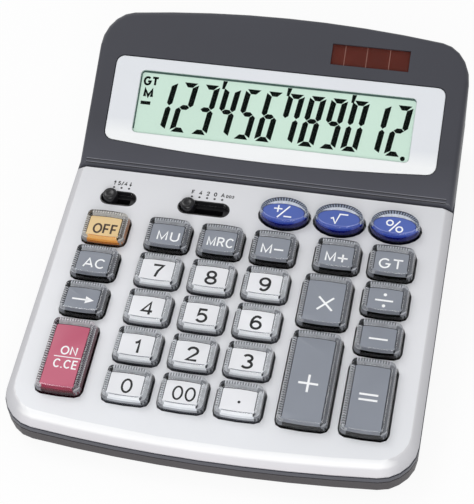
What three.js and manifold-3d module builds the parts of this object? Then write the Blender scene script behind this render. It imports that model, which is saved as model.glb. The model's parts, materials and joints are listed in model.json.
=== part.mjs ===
// A desktop calculator with a sloping keypad, a raised display head and a sliding battery door.
// Millimetres, +Z up, +Y toward the display. The origin is on the table under the middle of the body.
import * as THREE from "three";
import { mergeVertices } from "three/addons/utils/BufferGeometryUtils.js";
import Module from "manifold-3d";

const wasm = await Module();
wasm.setup();

// Fits and cutters
const seat = 0.3; // air between a fixed piece and what carries it
const overrun = 3; // how far a cutter runs past the face that it opens

// Slopes in degrees
const keypadSlope = 5; // of the keypad, above the table
const headTilt = 24; // of the display head, above the keypad

// Keys
const keyWidth = 15.9;
const keyDepth = 12.8;
const keyHeight = 4.4; // of the cap, above the panel
const keyFlare = 0.9; // by which each side leans in towards the top
const keySkirt = 0.4; // upright foot of the cap, above the panel
const keyEdge = 0.45; // bevel round the top
const keyCorner = 2;
const keyBow = 0.45; // bulge of the front and rear edges
const keyWall = 1.6;
const keyRoof = 1.6;
const keyTravel = 2;
const keyClearance = 0.5; // between a cap and its hole
const keyGapAcross = 3.1;
const keyGapAlong = 2.56;
const functionColumnGap = 7.02; // between the left column and the number keys
const operatorColumnGap = 5.44; // between the number keys and the operators
const lastColumnGap = 4.21;
const broadKeyWidth = 17.3; // of the two tall operator keys
const rowCount = 5;
const ovalWidth = 18.5;
const ovalDepth = 12.3;
const ovalSides = 20;
const ovalGap = 1.25;
const ovalClearance = 0.35;
const ovalShift = 1; // of the last oval, to the left of the last column
const ovalRowGap = 3.05; // between the top row and the ovals
const ovalPocketShare = 0.55;
const earThickness = 1;
const earGrip = 0.6; // by which an ear reaches under the panel
const earLength = 5;
const plungerSize = 3.6;

// Keypad panel
const panelThickness = 2;
const panelEdge = 2.8; // height of the bevelled rim
const frontBevel = 4.8;
const sideBevel = 3;
const rearBevel = 0.5;
const bevelShares = [[0, 1], [0, 0.82], [0.72, 0.16], [1, 0]]; // of the bevel's run and of its height
const frontMargin = 9.86; // between the keys and the front bevel
const sideMargin = 7.25;
const rearMargin = 6.95; // between the ovals and the head
const panelCorner = 11.8;
const panelRearCorner = 1;
const endBow = 4.4; // bulge of the body's front and rear ends
const seamGap = 0.9; // groove between the panel and the head
const stakeRadius = 1.2;
const stakeInset = 2.5; // from the keypad opening to a stake
const stakeLength = 2.4;
const stakeShares = [0.28, 0.84]; // of the panel's length

// Slide switches
const slotPitch = 2.8; // between two positions
const roundingSteps = 2;
const decimalSteps = 4;
const knobWidth = 4.9;
const knobHeight = 2.2; // above the panel
const knobSink = 1.7; // below the panel's top
const knobSides = 16;
const slotEndRoom = 1.1;
const roundingShift = 0.7; // of its slot, to the right of the left column
const slotDrop = 0.8; // of the slots, below the line of the ovals
const switchWall = 1.5;
const stemSize = 2;
const stemGrip = 3; // depth of the stem inside its switch

// Upper case
const rimReveal = 0.25; // by which the case stands out round the panel
const rimThickness = 1.8;
const caseWall = 2;
const headDraft = 0.6;
const headEdge = 2.2; // rounding of the head's outer edges
const headFrontEdge = 0.9; // rounding of the head's edge at the seam
const headEdgeSteps = 3;
const headRearMargin = 9.8;
const openingMargin = 2; // between the keys and the opening for the keypad
const openingRear = 3.6; // between the opening and the head
const openingCorner = 2;
const lipThickness = 1.2;
const lipDrop = 1.3; // by which the lip reaches into the lower case
const lipRoot = 1.5;

// Display
const frameSideMargin = 8.3; // between the frame and the head's side
const frameFront = 8; // between the seam and the frame
const frameDepth = 34.8;
const frameBow = 2.6;
const frameCorner = 3;
const frameThickness = 0.7;
const flushDrop = 0.1; // of the frame and the windows, below the head
const viewSideMargin = 10; // between the frame's edge and the view of the display
const viewFrontMargin = 5.95;
const viewRearMargin = 4.7;
const viewCorner = 1.6;
const windowThickness = 0.5;
const glassThickness = 2.8;
const glassBorder = 2.7; // of the display glass, hidden round the view
const stripHeight = 1.8; // of the rubber strip between the glass and its board
const stripDepth = 2;
const displayBoardThickness = 1.2;
const displayBoardBorder = 5.5; // past the glass at each side
const displayPostRadius = 1.4;
const displayPostInset = 2.6; // from the board's side
const solarWidth = 28.6;
const solarDepth = 8;
const solarGap = 4.7; // between the frame and the solar cell
const solarSideMargin = 14.5; // between the frame's right edge and the solar cell
const solarLip = 1; // of the case, over the solar cell
const solarBorder = 1;
const solarThickness = 1.1;
const solarWindowThickness = 0.6;

// Keypad electronics
const domeReserve = 0.5; // of a dome, left when its key is down
const domeTopRadius = 2.2;
const domeBaseRadius = 3.6;
const domeSides = 8;
const membraneThickness = 0.8;
const membraneMargin = 1.4; // past the keys
const membraneRearInset = 1.5; // under the ovals' rear edge
const boardMargin = 3.4; // past the keys in front
const boardSideMargin = 2.4;
const boardRearInset = 4; // from the head
const boardThickness = 1.2;
const boardRoom = 1.2; // under the board's front edge
const chipRadius = 5;
const chipHeight = 1.6;
const chipShare = 0.72; // of the board's length
const ribbonWidth = 24;
const ribbonThickness = 0.3;
const ribbonGrip = 3; // of each end, along its board
const ribbonSteps = 8;

// Lower case
const footHeight = 1.6;
const footRadius = 5;
const footSink = 0.8;
const footEdge = 0.4;
const footSides = 16;
const footInsetX = 15.6;
const footInsetFront = 19;
const footInsetRear = 21;
const floorThickness = 2.2;
const partingGap = 0.5;
const bottomEdge = 1.5; // chamfer along the underside
const postRadius = 2.2;
const postShares = [[-0.8, 0.14], [0.8, 0.14], [0, 0.5], [-0.8, 0.88], [0.8, 0.88]]; // of the board's size
const pillarSides = 10;

// Screws
const screwInsetX = 12.6;
const screwInsetFront = 8.2;
const screwInsetRear = 10;
const screwHeadRadius = 2.4;
const screwHeadHeight = 1.6;
const screwRadius = 1.1;
const screwSink = 0.4;
const screwRoom = 0.5; // round the head
const screwShelf = 1.2;
const screwRise = 5; // of the rear screws' shoulders, below the parting line
const bossRadius = 2.6;
const bossWall = 1.3;
const driveWidth = 0.7;
const driveDepth = 0.8;
const driveShare = 0.7; // of the head's width

// Battery
const cellLength = 50.5;
const cellRadius = 7.25;
const cellNubRadius = 2.75;
const cellNubLength = 1.3;
const cellSides = 18;
const bayBehind = 28.5; // from the bay's middle to the body's rear
const bayRoom = 2.4; // for a contact at each end
const bayClearance = 0.5;
const bayWall = 1.4;
const bayHeight = 12;
const contactThickness = 0.4;
const contactWidth = 8;
const contactRise = 5; // above and below the cell's middle
const contactNubShare = 0.3; // of that rise
const doorThickness = 1.1;
const doorOverlap = 2; // past the bay
const doorCorner = 1.5;
const doorTravel = 4;
const hookWidth = 4;
const hookWeb = 1.2;
const hookReach = 2.5;
const hookThickness = 1;
const hookGap = 0.9;
const hookShares = [-0.55, 0.35]; // of half the door's length

// Lengths worked out from the sizes above
const slopeAngle = THREE.MathUtils.degToRad(keypadSlope);
const headAngle = THREE.MathUtils.degToRad(keypadSlope + headTilt);
const columnGaps = [functionColumnGap, keyGapAcross, keyGapAcross, operatorColumnGap, lastColumnGap];
const fieldWidth = columnGaps.reduce((sum, gap) => sum + gap + keyWidth, keyWidth);
const firstColumn = (keyWidth - fieldWidth) / 2;
const nextColumn = (centres, gap) => [...centres, centres.at(-1) + keyWidth + gap];
const columnCentres = columnGaps.reduce(nextColumn, [firstColumn]);
const narrowColumn = columnCentres.at(-1) - keyWidth - keyGapAcross; // above the broad keys
const keyColumns = [...columnCentres, narrowColumn];
const rowPitch = keyDepth + keyGapAlong;
const fieldFront = frontBevel + frontMargin;
const fieldRear = fieldFront + rowCount * rowPitch - keyGapAlong;
const ovalCentre = fieldRear + ovalRowGap + ovalDepth / 2;
const slotCentre = ovalCentre - slotDrop;
const deckLength = ovalCentre + ovalDepth / 2 + rearMargin;
const headLength = frameFront + frameDepth + solarGap + solarDepth + headRearMargin;
const panelHalfWidth = fieldWidth / 2 + sideMargin + sideBevel;
const bodyHalfWidth = panelHalfWidth + rimReveal;

const ledgeDepth = panelEdge + seat;
const partingDepth = ledgeDepth + rimThickness;
const earTop = panelThickness + seat;
const earBottom = earTop + earThickness;
const domeTop = earBottom + seat;
const membraneTop = domeTop + keyTravel + domeReserve;
const membraneBottom = membraneTop + membraneThickness;
const boardTop = membraneBottom + seat;
const boardBottom = boardTop + boardThickness;
const boardFront = fieldFront - boardMargin;
const boardRear = deckLength - boardRearInset;
const boardHalfWidth = fieldWidth / 2 + boardSideMargin;

const floorTop = footHeight + floorThickness;
const deckRun = deckLength * Math.cos(slopeAngle);
const headRun = headLength * Math.cos(headAngle);
const rimOffset = rimReveal - panelEdge * Math.sin(slopeAngle);
const bodyLength = rimOffset + deckRun + headRun;
const bodyFront = -bodyLength / 2;
const bodyRear = bodyLength / 2;
const deckY = bodyFront + rimOffset;
const boardDrop = (boardBottom + boardRoom) * Math.cos(slopeAngle);
const deckZ = floorTop - boardFront * Math.sin(slopeAngle) + boardDrop;
const seamY = deckY + deckRun;
const seamZ = deckZ + deckLength * Math.sin(slopeAngle);

// Places of the keypad's and the head's own frames in the body
const deckPlace = new THREE.Matrix4().makeRotationX(slopeAngle).setPosition(0, deckY, deckZ);
const headPlace = new THREE.Matrix4().makeRotationX(headAngle).setPosition(0, seamY, seamZ);

// Heights over y of planes that lie a given depth below the keypad and below the head
const deckPlane = (depth) => (y) =>
  deckZ + (y - deckY) * Math.tan(slopeAngle) - depth / Math.cos(slopeAngle);
const headPlane = (depth) => (y) =>
  seamZ + (y - seamY) * Math.tan(headAngle) - depth / Math.cos(headAngle);
const levelPlane = (z) => () => z;

// Finishes
const finish = (color, roughness, metalness = 0) =>
  new THREE.MeshStandardMaterial({ color, roughness, metalness });
const silverPlastic = finish(0xd6d9dc, 0.35, 0.3);
const darkPlastic = finish(0x4c4d55, 0.45);
const basePlastic = finish(0x464344, 0.5);
const blackPlastic = finish(0x161618, 0.4);
const framePlastic = finish(0xeef0f2, 0.35);
const displayGlass = finish(0xcde1d5, 0.3);
const clearPlastic = finish(0xf0f6f4, 0.05);
const solarGlass = finish(0x5a2823, 0.25);
const boardLaminate = finish(0x2f6b3f, 0.6);
const siliconeRubber = finish(0xb8bcc0, 0.8);
const footRubber = finish(0x1c1c1e, 0.9);
const steel = finish(0xb4b4b4, 0.35, 1);
const nickel = finish(0xc8c6c0, 0.3, 1);
const cellJacket = finish(0x30343a, 0.4);
const flexFilm = finish(0xb07a3c, 0.5);
const keyFinishes = {
  grey: finish(0x82878c, 0.3),
  white: finish(0xe8e9ec, 0.3),
  orange: finish(0xe6b46e, 0.3),
  rose: finish(0xc85f78, 0.3),
  blue: finish(0x505fb4, 0.3),
};

// Solids and meshes
function solid(geometry, place) {
  const bare = geometry.clone();
  bare.deleteAttribute("normal");
  bare.deleteAttribute("uv");
  if (place) bare.applyMatrix4(place);
  const merged = mergeVertices(bare);
  const vertProperties = new Float32Array(merged.attributes.position.array);
  const triVerts = new Uint32Array(merged.index.array);
  return new wasm.Manifold(new wasm.Mesh({ numProp: 3, vertProperties, triVerts }));
}

function geometryOf(body) {
  const { vertProperties, triVerts } = body.getMesh();
  const geometry = new THREE.BufferGeometry();
  geometry.setAttribute("position", new THREE.BufferAttribute(new Float32Array(vertProperties), 3));
  geometry.setIndex(new THREE.BufferAttribute(new Uint32Array(triVerts), 1));
  geometry.computeVertexNormals();
  return geometry;
}

function piece(name, body, material) {
  const mesh = new THREE.Mesh(body.isBufferGeometry ? body : geometryOf(body), material);
  mesh.name = name;
  return mesh;
}

const join = (bodies) => bodies.reduce((whole, body) => whole.add(body));
const cut = (body, cutters) => cutters.reduce((rest, cutter) => rest.subtract(cutter), body);

// Box between two corners
function block([x0, y0, z0], [x1, y1, z1]) {
  const geometry = new THREE.BoxGeometry(x1 - x0, y1 - y0, z1 - z0);
  return geometry.translate((x0 + x1) / 2, (y0 + y1) / 2, (z0 + z1) / 2);
}

// Closed body through rings of as many points each, from the lowest ring to the highest
function loft(rings) {
  const count = rings[0].length;
  const positions = rings.flat().flatMap((point) => [point.x, point.y, point.z]);
  const cap = THREE.ShapeUtils.triangulateShape(rings[0].map((p) => new THREE.Vector2(p.x, p.y)), []);
  const last = (rings.length - 1) * count;
  const faces = cap.flatMap(([a, b, c]) => [a, c, b, last + a, last + b, last + c]);
  for (let ring = 0; ring < last; ring += count) {
    for (let i = 0; i < count; i += 1) {
      const a = ring + i;
      const b = ring + ((i + 1) % count);
      faces.push(a, b, b + count, a, b + count, a + count);
    }
  }
  const geometry = new THREE.BufferGeometry();
  geometry.setAttribute("position", new THREE.Float32BufferAttribute(positions, 3));
  geometry.setIndex(faces);
  geometry.computeVertexNormals();
  return geometry;
}

const ringOn = (points, plane) => points.map(({ x, y }) => new THREE.Vector3(x, y, plane(y)));
const prism = (points, low, high) => loft([ringOn(points, low), ringOn(points, high)]);
const levelPrism = (points, low, high) => prism(points, levelPlane(low), levelPlane(high));

// Outlines run counter-clockwise
function circle(x, y, radius, sides) {
  const turn = (i) => (i / sides) * Math.PI * 2;
  return Array.from({ length: sides }, (_, i) =>
    new THREE.Vector2(x + radius * Math.cos(turn(i)), y + radius * Math.sin(turn(i))));
}

const oval = (inset) => circle(0, 0, 1, ovalSides).map(({ x, y }) =>
  new THREE.Vector2(x * (ovalWidth / 2 - inset), y * (ovalDepth / 2 - inset)));

// Rounded rectangle whose front and rear edges may bulge outward at the middle
function outline({ halfWidth, front, rear, frontCorner, rearCorner, frontBow = 0, rearBow = 0,
  cornerSteps = 4, edgeSteps = 1 }) {
  const points = [];
  const bowed = (x, y, atFront) => {
    const share = (x / halfWidth) ** 2;
    points.push(new THREE.Vector2(x, atFront ? y + frontBow * share : y - rearBow * share));
  };
  const corner = (side, atFront, start) => {
    const radius = atFront ? frontCorner : rearCorner;
    const x = side * (halfWidth - radius);
    const y = atFront ? front + radius : rear - radius;
    for (let i = 0; i <= cornerSteps; i += 1) {
      const angle = start + (i / cornerSteps) * (Math.PI / 2);
      bowed(x + radius * Math.cos(angle), y + radius * Math.sin(angle), atFront);
    }
  };
  const edge = (direction, atFront) => {
    const reach = direction * (halfWidth - (atFront ? frontCorner : rearCorner));
    for (let i = 1; i < edgeSteps; i += 1) {
      bowed(reach * (2 * (i / edgeSteps) - 1), atFront ? front : rear, atFront);
    }
  };
  corner(-1, true, Math.PI);
  edge(1, true);
  corner(1, true, -Math.PI / 2);
  corner(1, false, 0);
  edge(-1, false);
  corner(-1, false, Math.PI / 2);
  return points;
}

// The same shape drawn in, or let out where by is negative
const drawnIn = (shape, by, frontBy = by) => ({
  ...shape,
  halfWidth: shape.halfWidth - by,
  front: shape.front + frontBy,
  rear: shape.rear - by,
  frontCorner: Math.max(shape.frontCorner - by, shape.frontCorner / 4),
  rearCorner: Math.max(shape.rearCorner - by, shape.rearCorner / 4),
});

// Outline of a strip that follows a line of points
function strip(points, thickness) {
  const side = (sign) => points.map((point, i) => {
    const along = points[Math.min(i + 1, points.length - 1)].clone().sub(points[Math.max(i - 1, 0)]);
    const across = new THREE.Vector2(-along.y, along.x).setLength(sign * thickness / 2);
    return point.clone().add(across);
  });
  return [...side(-1), ...side(1).reverse()];
}

// Extrusion of an outline drawn in a plane of constant x (y, z), centred on x = 0
function acrossX(points, width) {
  const shape = new THREE.Shape(points);
  const geometry = new THREE.ExtrudeGeometry(shape, { depth: width, bevelEnabled: false });
  const turn = new THREE.Matrix4().makeBasis(
    new THREE.Vector3(0, 1, 0), new THREE.Vector3(0, 0, 1), new THREE.Vector3(1, 0, 0));
  return geometry.translate(0, 0, -width / 2).applyMatrix4(turn);
}

// Body and panel outlines
const bodyShape = {
  halfWidth: bodyHalfWidth, front: bodyFront, rear: bodyRear, frontCorner: panelCorner,
  rearCorner: panelCorner, frontBow: endBow, rearBow: endBow, cornerSteps: 5, edgeSteps: 8,
};
const headShape = { ...bodyShape, front: seamY, frontCorner: panelRearCorner, frontBow: 0 };
const openingShape = {
  halfWidth: fieldWidth / 2 + openingMargin, front: fieldFront - openingMargin,
  rear: deckLength - openingRear, frontCorner: openingCorner, rearCorner: openingCorner,
  cornerSteps: 2,
};
const panelShape = {
  halfWidth: panelHalfWidth, front: 0, rear: deckLength - seamGap, frontCorner: panelCorner,
  rearCorner: panelRearCorner, frontBow: endBow, cornerSteps: 5, edgeSteps: 8,
};

// Places of the keys: name, finish, column, front row counted from the front, rows taken
const keyTable = [
  ["key_on_clear", "rose", 0, 0, 2], ["key_backspace", "grey", 0, 2, 1],
  ["key_all_clear", "grey", 0, 3, 1], ["key_off", "orange", 0, 4, 1],
  ["key_0", "white", 1, 0, 1], ["key_double_zero", "white", 2, 0, 1], ["key_point", "white", 3, 0, 1],
  ["key_1", "white", 1, 1, 1], ["key_2", "white", 2, 1, 1], ["key_3", "white", 3, 1, 1],
  ["key_4", "white", 1, 2, 1], ["key_5", "white", 2, 2, 1], ["key_6", "white", 3, 2, 1],
  ["key_7", "white", 1, 3, 1], ["key_8", "white", 2, 3, 1], ["key_9", "white", 3, 3, 1],
  ["key_markup", "grey", 1, 4, 1], ["key_memory_recall", "grey", 2, 4, 1],
  ["key_memory_minus", "grey", 3, 4, 1], ["key_memory_plus", "grey", 6, 4, 1],
  ["key_grand_total", "grey", 5, 4, 1], ["key_plus", "grey", 4, 0, 2.5, broadKeyWidth],
  ["key_multiply", "grey", 4, 2.5, 1.5, broadKeyWidth], ["key_equals", "grey", 5, 0, 2],
  ["key_minus", "grey", 5, 2, 1], ["key_divide", "grey", 5, 3, 1],
];
const squareKeys = keyTable.map(([name, color, column, row, rows, width = keyWidth]) => {
  const depth = rows * rowPitch - keyGapAlong;
  const y = fieldFront + row * rowPitch + depth / 2;
  return { name, color, x: keyColumns[column], y, width, depth };
});
const ovalKeys = ["key_percent", "key_root", "key_sign"].map((name, i) => {
  const x = columnCentres.at(-1) - ovalShift - i * (ovalWidth + ovalGap);
  return { name, color: "blue", x, y: ovalCentre };
});

const capShape = ({ width, depth }) => ({
  halfWidth: width / 2, front: -depth / 2, rear: depth / 2, frontCorner: keyCorner,
  rearCorner: keyCorner, frontBow: keyBow, rearBow: keyBow, cornerSteps: 2, edgeSteps: 2,
});

// Cap of a key: upright foot, leaning sides and a bevel round the top
function cap(ring) {
  const heights = [-earBottom, keySkirt, keyHeight - keyEdge, keyHeight];
  const insets = [0, 0, keyFlare, keyFlare + keyEdge];
  return solid(loft(heights.map((height, i) => ringOn(ring(insets[i]), levelPlane(height)))));
}

// Hollow underside with the plunger that presses the dome
function hollowed(body, halfX, halfY) {
  const pocketTop = keyHeight - keyRoof;
  const pocket = block([-halfX, -halfY, -earBottom - overrun], [halfX, halfY, pocketTop]);
  const half = plungerSize / 2;
  const plunger = block([-half, -half, -earBottom], [half, half, keyHeight - keyRoof / 2]);
  return body.subtract(solid(pocket)).add(solid(plunger));
}

function squareKey(key) {
  const shape = capShape(key);
  const reach = key.width / 2 + keyClearance + earGrip;
  const root = key.width / 2 - keyWall / 2;
  const ears = [-1, 1].map((side) => solid(block(
    [side < 0 ? -reach : root, -earLength / 2, -earBottom],
    [side < 0 ? -root : reach, earLength / 2, -earTop])));
  const shell = join([cap((inset) => outline(drawnIn(shape, inset))), ...ears]);
  return hollowed(shell, key.width / 2 - keyWall, key.depth / 2 - keyWall);
}

function ovalKey() {
  const reach = ovalDepth / 2 + ovalClearance + earGrip;
  const ears = solid(block([-earLength / 2, -reach, -earBottom], [earLength / 2, reach, -earTop]));
  const shell = cap(oval).add(ears);
  return hollowed(shell, (ovalWidth / 2) * ovalPocketShare, (ovalDepth / 2) * ovalPocketShare);
}

function keys() {
  const squares = squareKeys.map((key) => [key, squareKey(key)]);
  const ovals = ovalKeys.map((key) => [key, ovalKey()]);
  return [...squares, ...ovals].map(([key, body]) => {
    const mesh = piece(key.name, body, keyFinishes[key.color]);
    mesh.position.set(key.x, key.y, 0);
    return mesh;
  });
}

// Slide switches: each has its slot in the panel, its knob and a body on the board
function slideSwitch(name, centre, steps) {
  const travel = steps * slotPitch;
  const length = travel + knobWidth + 2 * slotEndRoom;
  return { name, centre, travel, length, knobX: centre - travel / 2 };
}
const slotWidth = knobWidth + 2 * seat;
const slideSwitches = [
  slideSwitch("rounding", columnCentres[0] + roundingShift, roundingSteps),
  slideSwitch("decimal", (columnCentres[1] + columnCentres[2]) / 2, decimalSteps),
];

const slotShape = ({ centre, length }) => {
  const corner = slotWidth / 2;
  const shape = {
    halfWidth: length / 2, front: -corner, rear: corner, frontCorner: corner, rearCorner: corner,
  };
  return outline(shape).map((p) => new THREE.Vector2(p.x + centre, p.y + slotCentre));
};

function knob(slider) {
  const { name, knobX } = slider;
  const radius = knobWidth / 2;
  const rise = knobHeight - radius / 4;
  const rings = [[radius, -knobSink], [radius, rise], [radius * (3 / 4), knobHeight]];
  const button = loft(rings.map(([r, z]) => ringOn(circle(0, 0, r, knobSides), levelPlane(z))));
  const half = stemSize / 2;
  const stem = block([-half, -half, -earTop - stemGrip], [half, half, -knobSink / 2]);
  const mesh = piece(`${name}_knob`, solid(button).add(solid(stem)), blackPlastic);
  mesh.position.set(knobX, slotCentre, 0);
  return mesh;
}

function switchBody({ name, centre, travel, length }) {
  const halfX = length / 2 + switchWall;
  const halfY = slotWidth / 2 + switchWall;
  const housing = solid(block(
    [centre - halfX, slotCentre - halfY, -membraneBottom], [centre + halfX, slotCentre + halfY, -earTop]));
  const gateX = travel / 2 + stemSize / 2 + seat;
  const gateY = stemSize / 2 + seat;
  const gate = solid(block([centre - gateX, slotCentre - gateY, -earTop - stemGrip - seat],
    [centre + gateX, slotCentre + gateY, overrun]));
  return piece(`${name}_switch`, housing.subtract(gate), blackPlastic);
}

// Silver plate over the keypad, pocketed below, with a hole for every key and slot
function keypadPanel() {
  const ring = ([run, height]) => {
    const rear = panelShape.rear - rearBevel * run;
    const shape = { ...drawnIn(panelShape, sideBevel * run, frontBevel * run), rear };
    return ringOn(outline({ ...shape, rearCorner: panelRearCorner }), levelPlane(-panelEdge * height));
  };
  const plate = solid(loft(bevelShares.map(ring)));
  const pocket = solid(levelPrism(outline(openingShape), -panelEdge - overrun, -panelThickness));
  const hole = (points, { x, y }) => solid(levelPrism(
    points.map((p) => new THREE.Vector2(p.x + x, p.y + y)), -panelEdge - overrun, overrun));
  const squareHoles = squareKeys.map((key) => hole(outline(drawnIn(capShape(key), -keyClearance)), key));
  const ovalHoles = ovalKeys.map((key) => hole(oval(-ovalClearance), key));
  const slots = slideSwitches.map((slider) => hole(slotShape(slider), { x: 0, y: 0 }));
  const stakes = stakePlaces.map(([x, y]) => solid(levelPrism(
    circle(x, y, stakeRadius, pillarSides), -panelEdge - stakeLength, -panelEdge / 2)));
  const body = cut(plate, [pocket, ...squareHoles, ...ovalHoles, ...slots]);
  return piece("keypad_panel", join([body, ...stakes]), silverPlastic);
}
const stakePlaces = stakeShares.flatMap((share) => [-1, 1].map((side) =>
  [side * (openingShape.halfWidth + stakeInset), panelShape.rear * share]));

// Screws that hold the two cases together: place, and the height of the shoulder under the head
const screwX = bodyHalfWidth - screwInsetX;
const screwFrontY = bodyFront + screwInsetFront;
const screwRearY = bodyRear - screwInsetRear;
const frontShoulder = footHeight + screwHeadHeight + screwSink;
const rearShoulder = deckPlane(partingDepth)(screwRearY) - screwRise;
const screwLength = deckPlane(ledgeDepth)(screwFrontY) - frontShoulder - seat;
const screwPlaces = [
  ["front_left", -screwX, screwFrontY, frontShoulder],
  ["front_right", screwX, screwFrontY, frontShoulder],
  ["rear_left", -screwX, screwRearY, rearShoulder],
  ["rear_right", screwX, screwRearY, rearShoulder],
];

function caseScrew([place, x, y, shoulder]) {
  const low = -screwHeadHeight;
  const bevel = screwHeadHeight / 4;
  const profile = [
    [0, low], [screwHeadRadius - bevel, low], [screwHeadRadius, low + bevel], [screwHeadRadius, 0],
    [screwRadius, 0], [screwRadius, screwLength - screwRadius], [0, screwLength],
  ].map(([radius, height]) => new THREE.Vector2(radius, height));
  const turned = new THREE.LatheGeometry(profile, pillarSides).rotateX(Math.PI / 2);
  const arm = screwHeadRadius * driveShare;
  const arms = [[arm, driveWidth / 2], [driveWidth / 2, arm]].map(([halfX, halfY]) =>
    solid(block([-halfX, -halfY, low - overrun], [halfX, halfY, low + driveDepth])));
  const mesh = piece(`case_screw_${place}`, cut(solid(turned), arms), steel);
  mesh.position.set(x, y, shoulder);
  return mesh;
}

// Display outlines in the head's frame
const frameShape = {
  halfWidth: bodyHalfWidth - frameSideMargin, front: frameFront, rear: frameFront + frameDepth,
  frontCorner: frameCorner, rearCorner: frameCorner, frontBow: frameBow, edgeSteps: 8,
};
const viewShape = {
  halfWidth: frameShape.halfWidth - viewSideMargin, front: frameShape.front + viewFrontMargin,
  rear: frameShape.rear - viewRearMargin, frontCorner: viewCorner, rearCorner: viewCorner,
};
const glassShape = { ...drawnIn(viewShape, -glassBorder), cornerSteps: 2 };
const displayBoardShape = {
  ...glassShape, halfWidth: glassShape.halfWidth + displayBoardBorder,
};
const solarCentre = frameShape.halfWidth - solarSideMargin - solarWidth / 2;
const solarFront = frameShape.rear + solarGap;
const solarOutline = (margin) => {
  const half = solarWidth / 2 + margin;
  const front = solarFront - margin;
  const rear = solarFront + solarDepth + margin;
  return [[-half, front], [half, front], [half, rear], [-half, rear]].map(([x, y]) =>
    new THREE.Vector2(solarCentre + x, y));
};

// Depths below the head's surface
const frameBottom = flushDrop + frameThickness;
const glassTop = frameBottom + seat;
const glassBottom = glassTop + glassThickness;
const stripBottom = glassBottom + seat + stripHeight;
const displayBoardTop = stripBottom + seat;
const displayBoardBottom = displayBoardTop + displayBoardThickness;
const solarTop = solarLip + seat;

const inHead = (points, low, high) => solid(levelPrism(points, -low, -high), headPlace);

// Upper case: the rim that carries the panel, and the display head in one moulding
function upperCase() {
  const rim = solid(prism(outline(bodyShape), deckPlane(partingDepth), deckPlane(ledgeDepth)));
  const blocks = join([rim, solid(headBlock()), ...lip()]);
  const cavity = solid(loft([
    ringOn(outline(drawnIn(headShape, caseWall)), deckPlane(partingDepth + overrun)),
    ringOn(outline(drawnIn(headShape, caseWall + headDraft)), headPlane(caseWall)),
  ]));
  const opening = levelPrism(outline(openingShape), -partingDepth - overrun, -ledgeDepth + overrun);
  const shell = cut(blocks, [cavity.subtract(lipRoom()), solid(opening, deckPlace)]);
  const stakeHoles = stakePlaces.map(([x, y]) => solid(levelPrism(
    circle(x, y, stakeRadius + seat, pillarSides), -partingDepth - overrun, 0), deckPlace));
  return piece("upper_case", cut(join([shell, ...caseBosses(), ...displayPosts()]),
    [...stakeHoles, ...pilotHoles(), ...displayCuts()]), darkPlastic);
}

function headBlock() {
  const rings = [ringOn(outline(headShape), deckPlane(partingDepth))];
  for (let i = 0; i <= headEdgeSteps; i += 1) {
    const angle = (i / headEdgeSteps) * (Math.PI / 2);
    const run = 1 - Math.cos(angle);
    const shape = drawnIn(headShape, headDraft + headEdge * run, headFrontEdge * run);
    rings.push(ringOn(outline(shape), headPlane(headEdge * (1 - Math.sin(angle)))));
  }
  return loft(rings);
}

// Band between two offsets of the body's outline, and between two depths below the keypad
function band(outer, inner, high, low) {
  const outside = solid(prism(outline(drawnIn(bodyShape, outer)), deckPlane(low), deckPlane(high)));
  const inside = solid(prism(outline(drawnIn(bodyShape, inner)), deckPlane(low + overrun),
    deckPlane(high - overrun)));
  return outside.subtract(inside);
}

// Lip that reaches down inside the lower case, hung from a band inside the wall
const lipInner = caseWall + seat + lipThickness;
const lip = () => [
  band(caseWall / 2, lipInner, partingDepth - lipRoot, partingDepth),
  band(caseWall + seat, lipInner, partingDepth - lipRoot / 2, partingDepth + lipDrop),
];

// What the head's cavity leaves standing round the lip
const lipRoom = () => band(caseWall / 2, lipInner, partingDepth - lipRoot, partingDepth + lipDrop);

function caseBosses() {
  return screwPlaces.map(([place, x, y, shoulder]) => {
    const top = place.startsWith("front") ? deckPlane(ledgeDepth + rimThickness / 2)
      : headPlane(caseWall / 2);
    const bottom = levelPlane(shoulder + screwShelf + seat);
    return solid(prism(circle(x, y, bossRadius, pillarSides), bottom, top));
  });
}

function pilotHoles() {
  return screwPlaces.map(([, x, y, shoulder]) => solid(levelPrism(
    circle(x, y, screwRadius + seat, pillarSides), shoulder, shoulder + screwLength + 2 * seat)));
}

function displayPosts() {
  const x = displayBoardShape.halfWidth - displayPostInset;
  const ends = [displayBoardShape.front + displayPostInset, displayBoardShape.rear - displayPostInset];
  return [-x, x].flatMap((postX) => ends.map((postY) => inHead(
    circle(postX, postY, displayPostRadius, domeSides), displayBoardTop - seat, caseWall / 2)));
}

function displayCuts() {
  const pocket = inHead(outline(drawnIn(frameShape, -seat)), frameBottom + seat, -overrun);
  const opening = inHead(outline(drawnIn(glassShape, -seat)), caseWall + overrun, -overrun);
  const solarOpening = inHead(solarOutline(0), caseWall + overrun, -overrun);
  const solarSeat = inHead(solarOutline(solarBorder + seat), caseWall + overrun, solarLip);
  return [pocket, opening, solarOpening, solarSeat];
}

// Display pieces, in the head's frame
function displayFrame() {
  const plate = solid(levelPrism(outline(frameShape), -frameBottom, -flushDrop));
  const view = solid(levelPrism(outline(viewShape), -frameBottom - overrun, overrun));
  return piece("display_frame", plate.subtract(view), framePlastic);
}

function displayWindow() {
  const pane = levelPrism(outline(drawnIn(viewShape, seat)), -frameBottom, windowThickness - frameBottom);
  return piece("display_window", pane, clearPlastic);
}

function displayPanel() {
  return piece("lcd_panel", levelPrism(outline(glassShape), -glassBottom, -glassTop), displayGlass);
}

function contactStrip() {
  const half = viewShape.halfWidth;
  const front = glassShape.front + stripDepth / 2;
  const bar = block([-half, front, -stripBottom], [half, front + stripDepth, -glassBottom - seat]);
  return piece("lcd_contact_strip", bar, footRubber);
}

function displayBoard() {
  const points = outline(displayBoardShape);
  return piece("display_board", levelPrism(points, -displayBoardBottom, -displayBoardTop), boardLaminate);
}

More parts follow.
